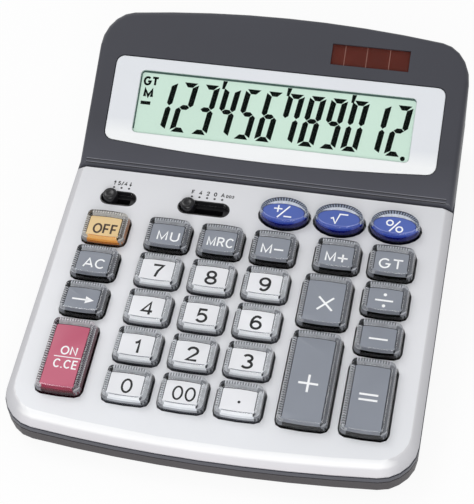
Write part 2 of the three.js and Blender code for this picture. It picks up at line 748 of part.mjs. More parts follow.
function solarPieces() {
  const cell = levelPrism(solarOutline(solarBorder), -solarTop - solarThickness, -solarTop);
  const pane = levelPrism(solarOutline(-seat), -solarLip, solarWindowThickness - solarLip);
  return [piece("solar_cell", cell, solarGlass), piece("solar_window", pane, clearPlastic)];
}

// Keypad electronics, in the keypad's frame
function keyMembrane() {
  const halfWidth = fieldWidth / 2 + membraneMargin;
  const front = fieldFront - membraneMargin;
  const rear = ovalCentre + ovalDepth / 2 - membraneRearInset;
  const sheet = solid(block([-halfWidth, front, -membraneBottom], [halfWidth, rear, -membraneTop]));
  const decimal = slideSwitches.at(-1);
  const notchRight = decimal.centre + decimal.length / 2 + switchWall + seat;
  const notchFront = slotCentre - slotWidth / 2 - switchWall - seat;
  const notch = solid(block([-halfWidth - overrun, notchFront, -membraneBottom - overrun],
    [notchRight, rear + overrun, -domeTop]));
  const dome = ({ x, y }) => solid(loft([
    ringOn(circle(x, y, domeBaseRadius, domeSides), levelPlane(-membraneTop - membraneThickness / 2)),
    ringOn(circle(x, y, domeTopRadius, domeSides), levelPlane(-domeTop)),
  ]));
  const domes = [...squareKeys, ...ovalKeys].map(dome);
  return piece("key_membrane", join([sheet.subtract(notch), ...domes]), siliconeRubber);
}

function mainBoard() {
  return piece("main_board", block([-boardHalfWidth, boardFront, -boardBottom],
    [boardHalfWidth, boardRear, -boardTop]), boardLaminate);
}

function controllerChip() {
  const top = -boardBottom - seat;
  const y = boardFront + chipShare * (boardRear - boardFront);
  const rings = [[1 / 2, 1], [5 / 6, 1 / 2], [1, 0]].map(([width, drop]) =>
    ringOn(circle(0, y, chipRadius * width, pillarSides), levelPlane(top - chipHeight * drop)));
  return piece("controller_chip", loft(rings), blackPlastic);
}

// Flat cable from the display board down to the main board
function ribbonCable() {
  const gap = seat + ribbonThickness / 2;
  const inDeck = (y, z) => new THREE.Vector3(0, y, z).applyMatrix4(deckPlace);
  const inHeadFrame = (y, z) => new THREE.Vector3(0, y, z).applyMatrix4(headPlace);
  const start = displayBoardShape.front + ribbonGrip;
  const route = [
    inHeadFrame(start, -displayBoardBottom - gap),
    inHeadFrame(start - 2 * ribbonGrip, -displayBoardBottom - gap),
    inDeck(boardRear, -boardTop + gap),
    inDeck(boardRear - ribbonGrip, -boardTop + gap),
  ].map(({ y, z }) => new THREE.Vector2(y, z));
  const line = new THREE.CubicBezierCurve(...route).getPoints(ribbonSteps);
  return piece("ribbon_cable", acrossX(strip(line, ribbonThickness), ribbonWidth), flexFilm);
}

// Battery bay and door, in the body's frame
const bayY = bodyRear - bayBehind;
const bayHalfX = cellLength / 2 + bayRoom;
const bayHalfY = cellRadius + bayClearance;
const doorTop = footHeight + doorThickness;
const recessTop = doorTop + seat;
const cellZ = recessTop + cellRadius;
const hookX = bayHalfX + bayWall + hookGap + hookWidth / 2;
const doorHalfX = hookX + hookWidth / 2 + doorOverlap;
const doorHalfY = bayHalfY + doorOverlap;
const hookPlaces = hookShares.flatMap((share) => [-1, 1].map((side) =>
  ({ x: side * hookX, y: bayY + share * doorHalfY })));
const doorShape = {
  halfWidth: doorHalfX, front: bayY - doorHalfY, rear: bayY + doorHalfY, frontCorner: doorCorner,
  rearCorner: doorCorner, cornerSteps: 3,
};

// Door that slides back to free its hooks, then lifts away
function batteryDoor() {
  const plate = solid(levelPrism(outline(doorShape), footHeight, doorTop));
  const tabLow = floorTop + seat;
  const hook = ({ x, y }) => {
    const [left, right] = [x - hookWidth / 2, x + hookWidth / 2];
    const tabHigh = tabLow + hookThickness;
    const web = block([left, y, footHeight + doorThickness / 2], [right, y + hookWeb, tabHigh]);
    const tab = block([left, y - hookReach, tabLow], [right, y + hookWeb / 2, tabHigh]);
    return solid(web).add(solid(tab));
  };
  return piece("battery_door", join([plate, ...hookPlaces.map(hook)]), basePlastic);
}

function batteryCell() {
  const half = cellLength / 2;
  const shoulder = half - cellNubLength;
  const profile = [
    [0, -half], [cellRadius, -half], [cellRadius, shoulder], [cellNubRadius, shoulder],
    [cellNubRadius, half], [0, half],
  ].map(([radius, height]) => new THREE.Vector2(radius, height));
  const mesh = piece("battery_cell", new THREE.LatheGeometry(profile, cellSides), cellJacket);
  mesh.rotation.z = -Math.PI / 2;
  mesh.position.set(0, bayY, cellZ);
  return mesh;
}

// Sprung strip bent out from the bay's end to the cell's end
function batteryContact(name, side, nubRise) {
  const back = bayHalfX - seat - contactThickness / 2;
  const nose = cellLength / 2 + seat + contactThickness / 2;
  const line = [
    [back, -contactRise], [back, -nubRise], [nose, -nubRise / 2], [nose, nubRise / 2],
    [back, nubRise], [back, contactRise],
  ].map(([x, z]) => new THREE.Vector2(x, z));
  const turn = new THREE.Matrix4().makeBasis(
    new THREE.Vector3(0, side, 0), new THREE.Vector3(side, 0, 0), new THREE.Vector3(0, 0, -1));
  const upright = acrossX(strip(line, contactThickness), contactWidth).applyMatrix4(turn.transpose());
  const mesh = piece(name, upright, nickel);
  mesh.position.set(0, bayY, cellZ);
  return mesh;
}

// Lower case: an open tray with the battery bay, the screw bosses and the posts under the board
function bottomCase() {
  const rim = deckPlane(partingDepth + partingGap);
  const outside = solid(loft([
    ringOn(outline(drawnIn(bodyShape, bottomEdge)), levelPlane(footHeight)),
    ringOn(outline(bodyShape), levelPlane(footHeight + bottomEdge)),
    ringOn(outline(bodyShape), rim),
  ]));
  const inside = solid(prism(outline(drawnIn(bodyShape, caseWall)), levelPlane(floorTop),
    deckPlane(partingDepth - overrun)));
  const raised = [...lowerBosses(), ...boardPosts(), bayWalls()];
  return piece("bottom_case", cut(join([outside.subtract(inside), ...raised]),
    [...screwHoles(), ...footPockets(), ...doorCuts()]), basePlastic);
}

const lowerBosses = () => screwPlaces.map(([, x, y, shoulder]) => solid(levelPrism(
  circle(x, y, screwHeadRadius + screwRoom + bossWall, pillarSides),
  footHeight + floorThickness / 2, shoulder + screwShelf)));

const boardPosts = () => postShares.map(([xShare, yShare]) => {
  const x = xShare * boardHalfWidth;
  const y = boardFront + yShare * (boardRear - boardFront);
  const at = new THREE.Vector3(x, y, -boardBottom).applyMatrix4(deckPlace);
  return solid(prism(circle(at.x, at.y, postRadius, domeSides),
    levelPlane(footHeight + floorThickness / 2), deckPlane(boardBottom + seat)));
});

function bayWalls() {
  const top = floorTop + bayHeight;
  const [halfX, halfY] = [bayHalfX + bayWall, bayHalfY + bayWall];
  const walls = block([-halfX, bayY - halfY, footHeight + floorThickness / 2], [halfX, bayY + halfY, top]);
  const room = block([-bayHalfX, bayY - bayHalfY, footHeight],
    [bayHalfX, bayY + bayHalfY, top + overrun]);
  return solid(walls).subtract(solid(room));
}

const screwHoles = () => screwPlaces.flatMap(([, x, y, shoulder]) => [
  [screwHeadRadius + screwRoom, footHeight - overrun, shoulder],
  [screwRadius + seat, shoulder - seat, shoulder + overrun],
].map(([radius, low, high]) => solid(levelPrism(circle(x, y, radius, pillarSides), low, high))));

const footPlaces = [["front", bodyFront + footInsetFront], ["rear", bodyRear - footInsetRear]]
  .flatMap(([end, y]) => [["left", -1], ["right", 1]].map(([name, side]) =>
    [`foot_${end}_${name}`, side * (bodyHalfWidth - footInsetX), y]));

const footPockets = () => footPlaces.map(([, x, y]) => solid(levelPrism(
  circle(x, y, footRadius + seat, footSides), footHeight - overrun, footHeight + footSink)));

function doorCuts() {
  const recess = levelPrism(outline(drawnIn({ ...doorShape, rear: doorShape.rear + doorTravel }, -seat)),
    footHeight - overrun, recessTop);
  const mouth = block([-bayHalfX, bayY - bayHalfY, footHeight - overrun],
    [bayHalfX, bayY + bayHalfY, floorTop + overrun]);
  const slots = hookPlaces.map(({ x, y }) => block(
    [x - hookWidth / 2 - seat, y - seat, footHeight - overrun],
    [x + hookWidth / 2 + seat, y + hookWeb + doorTravel + seat, floorTop + overrun]));
  return [recess, mouth, ...slots].map((cutter) => solid(cutter));
}

function foot([name, x, y]) {
  const top = footHeight + footSink;
  const profile = [
    [0, 0], [footRadius - footEdge, 0], [footRadius, footEdge], [footRadius, top], [0, top],
  ];
  const points = profile.map(([radius, height]) => new THREE.Vector2(radius, height));
  const mesh = piece(name, new THREE.LatheGeometry(points, footSides).rotateX(Math.PI / 2), footRubber);
  mesh.position.set(x, y, 0);
  return mesh;
}

// The whole calculator
function framed(place, pieces) {
  const group = new THREE.Group();
  group.applyMatrix4(place);
  group.add(...pieces);
  return group;
}

const calculator = new THREE.Group();
calculator.add(
  upperCase(), bottomCase(), ribbonCable(), batteryDoor(), batteryCell(),
  batteryContact("battery_contact_positive", 1, contactRise * contactNubShare),
  batteryContact("battery_contact_negative", -1, contactRise),
  ...footPlaces.map(foot), ...screwPlaces.map(caseScrew),
  framed(deckPlace, [
    keypadPanel(), ...keys(), ...slideSwitches.map(knob), ...slideSwitches.map(switchBody),
    keyMembrane(), mainBoard(), controllerChip(),
  ]),
  framed(headPlace, [
    displayFrame(), displayWindow(), displayPanel(), contactStrip(), displayBoard(), ...solarPieces(),
  ]),
);

export default calculator;
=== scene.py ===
import json
import math

import bmesh
import bpy
from mathutils import Matrix, Vector

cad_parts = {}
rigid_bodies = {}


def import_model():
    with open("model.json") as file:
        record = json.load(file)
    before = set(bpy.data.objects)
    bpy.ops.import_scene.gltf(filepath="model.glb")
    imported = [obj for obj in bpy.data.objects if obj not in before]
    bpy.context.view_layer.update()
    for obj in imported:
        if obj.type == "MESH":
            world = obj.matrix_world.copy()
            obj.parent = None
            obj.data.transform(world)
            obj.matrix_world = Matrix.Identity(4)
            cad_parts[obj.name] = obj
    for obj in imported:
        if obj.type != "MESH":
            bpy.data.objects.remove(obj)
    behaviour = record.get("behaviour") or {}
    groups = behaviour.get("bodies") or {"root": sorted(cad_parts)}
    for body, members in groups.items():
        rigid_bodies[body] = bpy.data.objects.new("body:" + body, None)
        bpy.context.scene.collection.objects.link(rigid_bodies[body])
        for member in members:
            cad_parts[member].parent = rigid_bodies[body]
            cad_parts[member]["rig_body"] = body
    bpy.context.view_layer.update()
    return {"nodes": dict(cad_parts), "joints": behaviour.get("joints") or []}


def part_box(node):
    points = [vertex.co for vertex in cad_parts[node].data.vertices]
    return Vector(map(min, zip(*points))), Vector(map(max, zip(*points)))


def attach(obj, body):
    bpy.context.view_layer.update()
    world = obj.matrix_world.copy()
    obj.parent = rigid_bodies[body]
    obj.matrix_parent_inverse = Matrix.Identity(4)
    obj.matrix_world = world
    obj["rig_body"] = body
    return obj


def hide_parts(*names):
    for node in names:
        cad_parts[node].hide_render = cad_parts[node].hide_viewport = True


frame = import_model()
nodes = frame["nodes"]

# Lengths are in millimetres unless a comment says otherwise
MM = 0.001
X_AXIS = Vector((1, 0, 0))
ROOT = "root"

def linked(name, data):
    made = bpy.data.objects.new(name, data)
    bpy.context.scene.collection.objects.link(made)
    return made


# Camera at the photograph's angle
CAMERA_PLACE = (84.65, -329.63, 424.13)
CAMERA_FORWARD = (-0.1665, 0.6183, -0.7681)
CAMERA_UP = (-0.1229, 0.7599, 0.6384)
CAMERA_LENS = 107.14
CAMERA_SENSOR = 36
CAMERA_CLIP = 10


def add_camera():
    data = bpy.data.cameras.new("camera")
    data.lens = CAMERA_LENS
    data.sensor_width = CAMERA_SENSOR
    data.clip_start = CAMERA_CLIP * MM
    camera = linked("camera", data)
    forward = Vector(CAMERA_FORWARD).normalized()
    right = forward.cross(Vector(CAMERA_UP)).normalized()
    turn = Matrix((right, right.cross(forward), -forward)).transposed().to_4x4()
    camera.matrix_world = Matrix.Translation(Vector(CAMERA_PLACE) * MM) @ turn
    bpy.context.scene.camera = camera


add_camera()


# Sloping planes: x to the right, s up the slope and h out of it
class Slope:
    def __init__(self, up):
        self.up = Vector(up).normalized()
        self.along = self.up.cross(X_AXIS)
        self.start = 0.0
        self.level = 0.0

    def local(self, point):
        p = point / MM
        return Vector((p.x, p.dot(self.along) - self.start, p.dot(self.up) - self.level))

    def at(self, x, s, h):
        return (X_AXIS * x + self.along * (s + self.start) + self.up * (h + self.level)) * MM

    # Points of a node that lie above a height
    def points(self, name, above=-math.inf):
        return [p for p in (self.local(v.co) for v in nodes[name].data.vertices) if p.z > above]

    def settle(self, name, front, top):
        points = self.points(name)
        self.start = min(p.y for p in points) - front
        self.level = max(p.z for p in points) - top


# The keypad's slope starts at the panel's front edge, and the head's at the seam
FRAME_FRONT = 8
FLUSH_DROP = 0.1
key_joint = next(j for j in frame["joints"] if j["child"].startswith("key_"))
deck = Slope([-a for a in key_joint["axis"]])
deck.settle("keypad_panel", 0, 0)
widest = max(nodes["display_frame"].data.polygons, key=lambda face: face.area)
head = Slope(widest.normal if widest.normal.z > 0 else -widest.normal)
head.settle("display_frame", FRAME_FRONT, -FLUSH_DROP)


# Colours are written as the eye sees them, from 0 to 255
def linear(color):
    def channel(value):
        value /= 255
        return value / 12.92 if value <= 0.04045 else ((value + 0.055) / 1.055) ** 2.4
    return tuple(channel(value) for value in color) + (1.0,)


def scaled(color, factor):
    return tuple(min(255.0, value * factor) for value in color)


def node(tree, kind, **settings):
    made = tree.nodes.new(kind)
    for name, value in settings.items():
        setattr(made, name, value)
    return made


def maths(tree, operation, first, second):
    made = node(tree, "ShaderNodeMath", operation=operation)
    for value, socket in zip((first, second), made.inputs):
        if isinstance(value, (int, float)):
            socket.default_value = value
        else:
            tree.links.new(value, socket)
    return made.outputs[0]


# Value carried over from one range to another
def ranged(tree, value, source=(0, 1), target=(0, 1)):
    made = node(tree, "ShaderNodeMapRange")
    for end, limit in zip(("From Min", "From Max", "To Min", "To Max"), source + target):
        made.inputs[end].default_value = limit
    tree.links.new(value, made.inputs["Value"])
    return made.outputs["Result"]


# Noise and bumps, fixed to the object
CLOUD_DETAIL = 4
GRAIN_DETAIL = 2
GRAIN_DEPTH = 0.02


def noise(tree, scale, detail=GRAIN_DETAIL):
    place = node(tree, "ShaderNodeTexCoord")
    made = node(tree, "ShaderNodeTexNoise")
    made.inputs["Scale"].default_value = scale
    made.inputs["Detail"].default_value = detail
    tree.links.new(place.outputs["Object"], made.inputs["Vector"])
    return made.outputs["Fac"]


def bumped(tree, height, strength, shader):
    relief = node(tree, "ShaderNodeBump")
    relief.inputs["Strength"].default_value = strength
    relief.inputs["Distance"].default_value = GRAIN_DEPTH * MM
    tree.links.new(height, relief.inputs["Height"])
    tree.links.new(relief.outputs["Normal"], shader.inputs["Normal"])


# Blend of two shaders as the material's output: the first where the share is 0
def blend(tree, share, first, second):
    mix = node(tree, "ShaderNodeMixShader")
    tree.links.new(share, mix.inputs["Fac"])
    tree.links.new(first, mix.inputs[1])
    tree.links.new(second, mix.inputs[2])
    tree.links.new(mix.outputs["Shader"], tree.nodes["Material Output"].inputs["Surface"])


# Moulded or painted surface: cloudy colour, fine grain in bump and roughness
CLOUD_RANGE = (0.3, 0.7)
LEAST_ROUGH = 0.02


def surface(name, color, rough=0.4, metal=0.0, vary=0.03, cloud=40, grain=1500, bump=0.08,
            spread=0.08, shine=0.5):
    material = bpy.data.materials.new(name)
    material.use_nodes = True
    tree = material.node_tree
    shader = tree.nodes["Principled BSDF"]
    ramp = node(tree, "ShaderNodeValToRGB")
    shares = (1 - vary, 1 + vary)
    for element, position, share in zip(ramp.color_ramp.elements, CLOUD_RANGE, shares):
        element.position = position
        element.color = linear(scaled(color, share))
    tree.links.new(noise(tree, cloud, CLOUD_DETAIL), ramp.inputs["Fac"])
    tree.links.new(ramp.outputs["Color"], shader.inputs["Base Color"])
    grains = noise(tree, grain)
    bumped(tree, grains, bump, shader)
    gloss = ranged(tree, grains, target=(max(LEAST_ROUGH, rough - spread), rough + spread))
    tree.links.new(gloss, shader.inputs["Roughness"])
    shader.inputs["Metallic"].default_value = metal
    shader.inputs["Specular IOR Level"].default_value = shine
    return material


def dot(tree, socket, direction):
    product = node(tree, "ShaderNodeVectorMath", operation="DOT_PRODUCT")
    product.inputs[1].default_value = direction
    tree.links.new(socket, product.inputs[0])
    return product.outputs["Value"]


# Colours at stops in millimetres from a start, along a direction
def tones(tree, direction, start, stops):
    place = node(tree, "ShaderNodeTexCoord")
    low, high = stops[0][0], stops[-1][0]
    share = ranged(tree, dot(tree, place.outputs["Object"], direction),
                   ((low + start) * MM, (high + start) * MM))
    tone = node(tree, "ShaderNodeValToRGB")
    elements = tone.color_ramp.elements
    for stop in stops[1:-1]:
        elements.new((stop[0] - low) / (high - low))
    for element, stop in zip(elements, stops):
        element.color = linear(stop[1])
    tree.links.new(share, tone.inputs["Fac"])
    return tone.outputs["Color"]


# Share by which a face on the rim looks to the front rather than to a side, from 0 to 1
FRONT_TURN = (0.55, 0.97)


def frontness(tree):
    geometry = node(tree, "ShaderNodeNewGeometry")
    squares = []
    for direction in (deck.along, X_AXIS):
        part = dot(tree, geometry.outputs["Normal"], direction)
        squares.append(maths(tree, "MULTIPLY", part, part))
    share = maths(tree, "DIVIDE", squares[0], maths(tree, "ADD", *squares))
    return ranged(tree, share, FRONT_TURN)


# Surface whose colour changes along a direction, with tones of their own where it faces the front;
# the changes are painted light and shade
def graded(name, direction, start, stops, front_stops=None, **settings):
    material = surface(name, (255, 255, 255), **settings)
    tree = material.node_tree
    shader = tree.nodes["Principled BSDF"]
    cloudy = shader.inputs["Base Color"].links[0].from_socket
    color = tones(tree, direction, start, stops)
    if front_stops:
        mix = node(tree, "ShaderNodeMix", data_type="RGBA")
        tree.links.new(frontness(tree), mix.inputs["Factor"])
        tree.links.new(color, mix.inputs["A"])
        tree.links.new(tones(tree, direction, start, front_stops), mix.inputs["B"])
        color = mix.outputs["Result"]
    product = node(tree, "ShaderNodeVectorMath", operation="MULTIPLY")
    tree.links.new(cloudy, product.inputs[0])
    tree.links.new(color, product.inputs[1])
    tree.links.new(product.outputs["Vector"], shader.inputs["Base Color"])
    return material


# Clear acrylic, which lets the lamps light what is inside it
SHELL_SHINE = 0.32
SHELL_IOR = 1.46
SHELL_THROUGH = (225, 225, 225)


def acrylic(name, tint, rough):
    material = surface(name, tint, rough, vary=0.01, bump=0.03, spread=0.02, shine=SHELL_SHINE)
    tree = material.node_tree
    shader = tree.nodes["Principled BSDF"]
    shader.inputs["Transmission Weight"].default_value = 1
    shader.inputs["IOR"].default_value = SHELL_IOR
    lamps = node(tree, "ShaderNodeBsdfTransparent")
    lamps.inputs["Color"].default_value = linear(SHELL_THROUGH)
    path = node(tree, "ShaderNodeLightPath")
    blend(tree, path.outputs["Is Shadow Ray"], shader.outputs["BSDF"], lamps.outputs["BSDF"])
    return material


# Thin pane: clear, with a gloss that grows towards a slanting view
PANE_ROUGH = 0.04
PANE_GLOSS = (0.003, 0.4)
PANE_STEEPNESS = 4
PANE_WAVES = 60
PANE_RELIEF = 0.05


def pane(name, tint):
    material = bpy.data.materials.new(name)
    material.use_nodes = True
    tree = material.node_tree
    tree.nodes.remove(tree.nodes["Principled BSDF"])
    clear = node(tree, "ShaderNodeBsdfTransparent")
    clear.inputs["Color"].default_value = linear(tint)
    gloss = node(tree, "ShaderNodeBsdfGlossy")
    gloss.inputs["Roughness"].default_value = PANE_ROUGH
    facing = node(tree, "ShaderNodeLayerWeight")
    steep = maths(tree, "POWER", facing.outputs["Facing"], PANE_STEEPNESS)
    bumped(tree, noise(tree, PANE_WAVES), PANE_RELIEF, gloss)
    blend(tree, ranged(tree, steep, target=PANE_GLOSS), clear.outputs["BSDF"],
          gloss.outputs["BSDF"])
    return material


# Silver paint of the panel from front to rear, lighter towards the front as painted light, and of
# its bevels by height from the panel's top, darker lower down as painted shade, with a painted
# highlight along the top of the front bevel
silver = graded("silver_paint", deck.along, deck.start,
                [(0, (234, 236, 240)), (55, (233, 234, 238)), (105, (220, 221, 225))],
                rough=0.42, metal=0.05, vary=0.01, grain=4000, bump=0.1)
silver_edge_painted_light = graded("silver_edge_painted_light", deck.up, deck.level,
                     [(-2.8, (188, 188, 192)), (-1.2, (202, 202, 206)), (-0.3, (208, 208, 212)),
                      (0, (220, 220, 223))],
                     [(-2.8, (192, 190, 194)), (-2.2, (214, 212, 216)), (-1.3, (220, 219, 223)),
                      (-0.9, (252, 252, 253)), (0, (250, 251, 253))],
                     rough=0.33, metal=0.05, vary=0.01, grain=4000)
# Dark grey of the head, lighter towards its front edge as painted light
head_grey = graded("head_plastic", head.along, head.start,
                   [(2, (70, 71, 80)), (16, (60, 61, 69))],
                   rough=0.42, vary=0.03, grain=2500, bump=0.15)
base_grey = surface("base_plastic", (61, 57, 60), rough=0.5, vary=0.04, grain=1800, bump=0.3)
black = surface("black_plastic", (24, 24, 27), rough=0.3, vary=0.1, grain=2500, bump=0.1)
# White of the display frame, paler towards its front as painted light
frame_white = graded("frame_plastic", head.along, head.start,
                     [(13, (243, 245, 246)), (19, (225, 228, 233))],
                     rough=0.38, metal=0.05, vary=0.012, grain=3500)
lcd_green = surface("display_glass", (206, 228, 217), rough=0.3, vary=0.012, cloud=25,
                    grain=3000, bump=0.02)
lcd_ink = surface("display_ink", (5, 12, 9), rough=0.4, vary=0.1, bump=0.02, shine=0.05)
lcd_shade = surface("display_shade", (74, 96, 92), rough=0.6, vary=0.05, shine=0.1)
solar = surface("solar_glass", (88, 38, 31), rough=0.4, vary=0.05, cloud=120, shine=0.1)
solar_wire = surface("solar_wire", (150, 105, 96), rough=0.3, metal=0.4)
window = pane("window_plastic", (254, 255, 254))
laminate = surface("board_laminate", (47, 107, 63), rough=0.5, vary=0.08, cloud=300)
rubber = surface("membrane_rubber", (184, 188, 192), rough=0.75, vary=0.05)
dark_rubber = surface("foot_rubber", (32, 32, 34), rough=0.85, vary=0.1, grain=900, bump=0.4)
steel = surface("screw_steel", (180, 180, 182), rough=0.32, metal=1, grain=900)
nickel = surface("contact_metal", (200, 198, 192), rough=0.3, metal=1)
jacket = surface("cell_jacket", (52, 56, 62), rough=0.35)
film = surface("flex_film", (176, 122, 60), rough=0.45)
shell_clear = acrylic("key_shell", (244, 246, 248), rough=0.06)
KEY_COLORS = {
    "key_grey": (139, 144, 154), "key_white": (233, 234, 238), "key_orange": (228, 199, 148),
    "key_rose": (196, 99, 123), "key_blue": (82, 103, 178),
}
# Colours of a key's liner, much of it painted light and shade: f foot, darkened as painted shade;
# r right wall, near black as painted shade; w other walls; l ledge; b rib; v gap between ribs,
# darkened as painted shade; m dark rim of the face, a painted shade line; e its front edge, a
# painted shade line on white and orange keys and a painted highlight on the others; h, n and o the
# front from high to low, darker downwards as painted shade, with a painted highlight in n on grey
# keys; k corner, painted black as shade
LINER_COLORS = {
    "key_grey": {
        "f": (10, 10, 12), "r": (18, 19, 21), "w": (116, 118, 124), "l": (164, 166, 171),
        "b": (188, 190, 195), "v": (48, 50, 55), "m": (46, 48, 54), "e": (160, 163, 170),
        "h": (132, 135, 143), "n": (152, 155, 162), "o": (8, 8, 10), "k": (10, 10, 12)},
    "key_white": {
        "f": (70, 72, 78), "r": (54, 56, 61), "w": (132, 134, 139), "l": (182, 184, 188),
        "b": (204, 206, 210), "v": (62, 64, 70), "m": (92, 94, 100), "e": (146, 148, 154),
        "h": (244, 245, 247), "n": (228, 230, 233), "o": (166, 168, 173), "k": (12, 12, 14)},
    "key_orange": {
        "f": (58, 38, 22), "r": (182, 116, 54), "w": (150, 148, 146), "l": (188, 184, 178),
        "b": (208, 204, 198), "v": (84, 74, 62), "m": (78, 56, 32), "e": (228, 150, 66),
        "h": (244, 196, 126), "n": (240, 176, 94), "o": (204, 126, 54), "k": (20, 17, 14)},
    "key_rose": {
        "f": (36, 4, 14), "r": (98, 18, 44), "w": (136, 134, 140), "l": (182, 176, 180),
        "b": (206, 202, 205), "v": (74, 60, 68), "m": (104, 34, 56), "e": (208, 132, 152),
        "h": (152, 32, 66), "n": (96, 4, 30), "o": (52, 0, 14), "k": (20, 12, 16)},
    "key_blue": {
        "f": (5, 6, 30), "r": (14, 18, 96), "w": (120, 128, 168), "l": (224, 228, 238),
        "b": (152, 160, 176), "v": (50, 56, 72), "m": (38, 50, 118), "e": (152, 164, 226),
        "h": (96, 118, 200), "n": (62, 82, 172), "o": (12, 16, 98), "k": (14, 16, 40)},
}
LINER_PARTS = "frwlbvmehnok"
CALM_PARTS = "ehno"
CALM_CLOUDS = (0.01, 100)
LIVELY_CLOUDS = (0.06, 700)


def liner(slot, part, color):
    vary, cloud = CALM_CLOUDS if part in CALM_PARTS else LIVELY_CLOUDS
    return surface(f"{slot}_liner_{part}", color, rough=0.45, shine=0.1, vary=vary, cloud=cloud)


core_finish = {slot: surface(slot, color, rough=0.32, vary=0.02, grain=2500, bump=0.06, shine=0.3)
               for slot, color in KEY_COLORS.items()}
# Liner paints of each key colour, which carry painted shade and painted highlights
liner_paint_and_shade = {slot: [liner(slot, part, colors[part]) for part in LINER_PARTS]
                for slot, colors in LINER_COLORS.items()}
white_ink = surface("white_ink", (248, 249, 251), rough=0.45, vary=0.01)
black_ink = surface("black_ink", (12, 13, 16), rough=0.5, vary=0.08)
brown_ink = surface("brown_ink", (52, 30, 16), rough=0.45, vary=0.08)


# Pieces, with hard edges where two faces meet at more than an angle in degrees
SHARP = 38


def piece(name, verts, faces, material, body=ROOT, slot=None, replaced=(), sharp=SHARP):
    mesh = bpy.data.meshes.new(name)
    mesh.from_pydata([tuple(v) for v in verts], [], faces)
    return finished(name, mesh, material, body, replaced, sharp)


def finished(name, mesh, material, body, replaced=(), sharp=SHARP):
    bm = bmesh.new()
    bm.from_mesh(mesh)
    bmesh.ops.recalc_face_normals(bm, faces=bm.faces)
    bm.to_mesh(mesh)
    bm.free()
    mesh.shade_smooth()
    mesh.set_sharp_from_angle(angle=math.radians(sharp))
    mesh.materials.clear()
    mesh.materials.append(material)
    made = linked(name, mesh)
    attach(made, body)
    if replaced:
        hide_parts(*replaced)
    return made


# Faces through rings of as many points each, closed at both ends
def ring_faces(rings, count):
    faces = [tuple(reversed(range(count))), tuple(range((rings - 1) * count, rings * count))]
    for ring in range(rings - 1):
        low = ring * count
        for i in range(count):
            j = (i + 1) % count
            faces.append((low + i, low + j, low + count + j, low + count + i))
    return faces


def lofted(name, rings, slope, material, **settings):
    verts = [slope.at(x, s, h) for ring, h in rings for x, s in ring]
    return piece(name, verts, ring_faces(len(rings), len(rings[0][0])), material, **settings)


# Side walls draw in towards the table, so that they don't show from above
WALL_START = 62
WALL_TOP = 3
WALL_DRAFT = math.tan(math.radians(2.2))
NEAR = MM / 1000


# Cuts at the seam and along both side walls keep the rest of the case as it is
def draw_in(bm):
    for place, way in ((head.at(0, 0, 0), (0, 1, 0)), (X_AXIS * WALL_START * MM, X_AXIS),
                       (X_AXIS * -WALL_START * MM, X_AXIS)):
        bmesh.ops.bisect_plane(bm, geom=bm.verts[:] + bm.edges[:] + bm.faces[:], plane_co=place,
                               plane_no=way)
    for vert in bm.verts:
        depth = max(-deck.local(vert.co).z, -head.local(vert.co).z) - WALL_TOP
        if depth > 0 and abs(vert.co.x) > WALL_START * MM + NEAR:
            vert.co.x -= math.copysign(depth * WALL_DRAFT * MM, vert.co.x)


# Copy of a CAD solid with its edges softened
FLAT_ANGLE = 0.6
BEVEL_STEPS = 2


def refined(name, material, width=0.25, sharp=32, draft=False):
    bm = bmesh.new()
    bm.from_mesh(nodes[name].data)
    bmesh.ops.remove_doubles(bm, verts=bm.verts, dist=NEAR)
    bmesh.ops.dissolve_limit(bm, angle_limit=math.radians(FLAT_ANGLE), verts=bm.verts,
                             edges=bm.edges)
    if draft:
        draw_in(bm)
    mesh = bpy.data.meshes.new(f"{name}_skin")
    bm.to_mesh(mesh)
    bm.free()
    made = finished(f"{name}_skin", mesh, material, nodes[name]["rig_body"], (name,))
    mesh.shade_smooth()
    bevel = made.modifiers.new("edges", "BEVEL")
    bevel.width = width * MM
    bevel.segments = BEVEL_STEPS
    bevel.limit_method = "ANGLE"
    bevel.angle_limit = math.radians(sharp)
    made.modifiers.new("normals", "WEIGHTED_NORMAL").keep_sharp = True
    return made


# The panel's bevels, by how far they face up, and the rim's outer strip have a paint of their own:
# the bevel silver, with its painted shade and painted highlight
EDGE_TILT = (-0.2, 0.985)
RIM_REVEAL = 0.4
RIM_LEVEL = 0.98

panel = refined("keypad_panel", silver, width=0.2)
panel.data.materials.append(silver_edge_painted_light)
for face in panel.data.polygons:
    if EDGE_TILT[0] < face.normal.dot(deck.up) < EDGE_TILT[1]:
        face.material_index = 1
case = refined("upper_case", head_grey, draft=True)
case.data.materials.append(silver_edge_painted_light)
rim_half = max(v.co.x for v in case.data.vertices) - RIM_REVEAL * MM
for face in case.data.polygons:
    outer = min(abs(case.data.vertices[i].co.x) for i in face.vertices)
    at_side = outer > WALL_START * MM and abs(face.center.x) > rim_half
    if at_side and face.normal.dot(deck.up) > RIM_LEVEL:
        face.material_index = 1
refined("bottom_case", base_grey, width=0.35, draft=True)
refined("display_frame", frame_white, width=0.2)
refined("battery_door", base_grey)
for end in ("front_left", "front_right", "rear_left", "rear_right"):
    refined(f"foot_{end}", dark_rubber)
    refined(f"case_screw_{end}", steel, width=0.12)

CAD_FINISHES = {
    "lcd_panel": lcd_green, "display_window": window, "solar_window": window, "solar_cell": solar,
    "key_membrane": rubber, "main_board": laminate, "display_board": laminate,
    "controller_chip": black, "rounding_switch": black, "decimal_switch": black,
    "lcd_contact_strip": dark_rubber, "ribbon_cable": film, "battery_cell": jacket,
    "battery_contact_positive": nickel, "battery_contact_negative": nickel,
}
for name, finish in CAD_FINISHES.items():
    nodes[name].data.materials.clear()
    nodes[name].data.materials.append(finish)

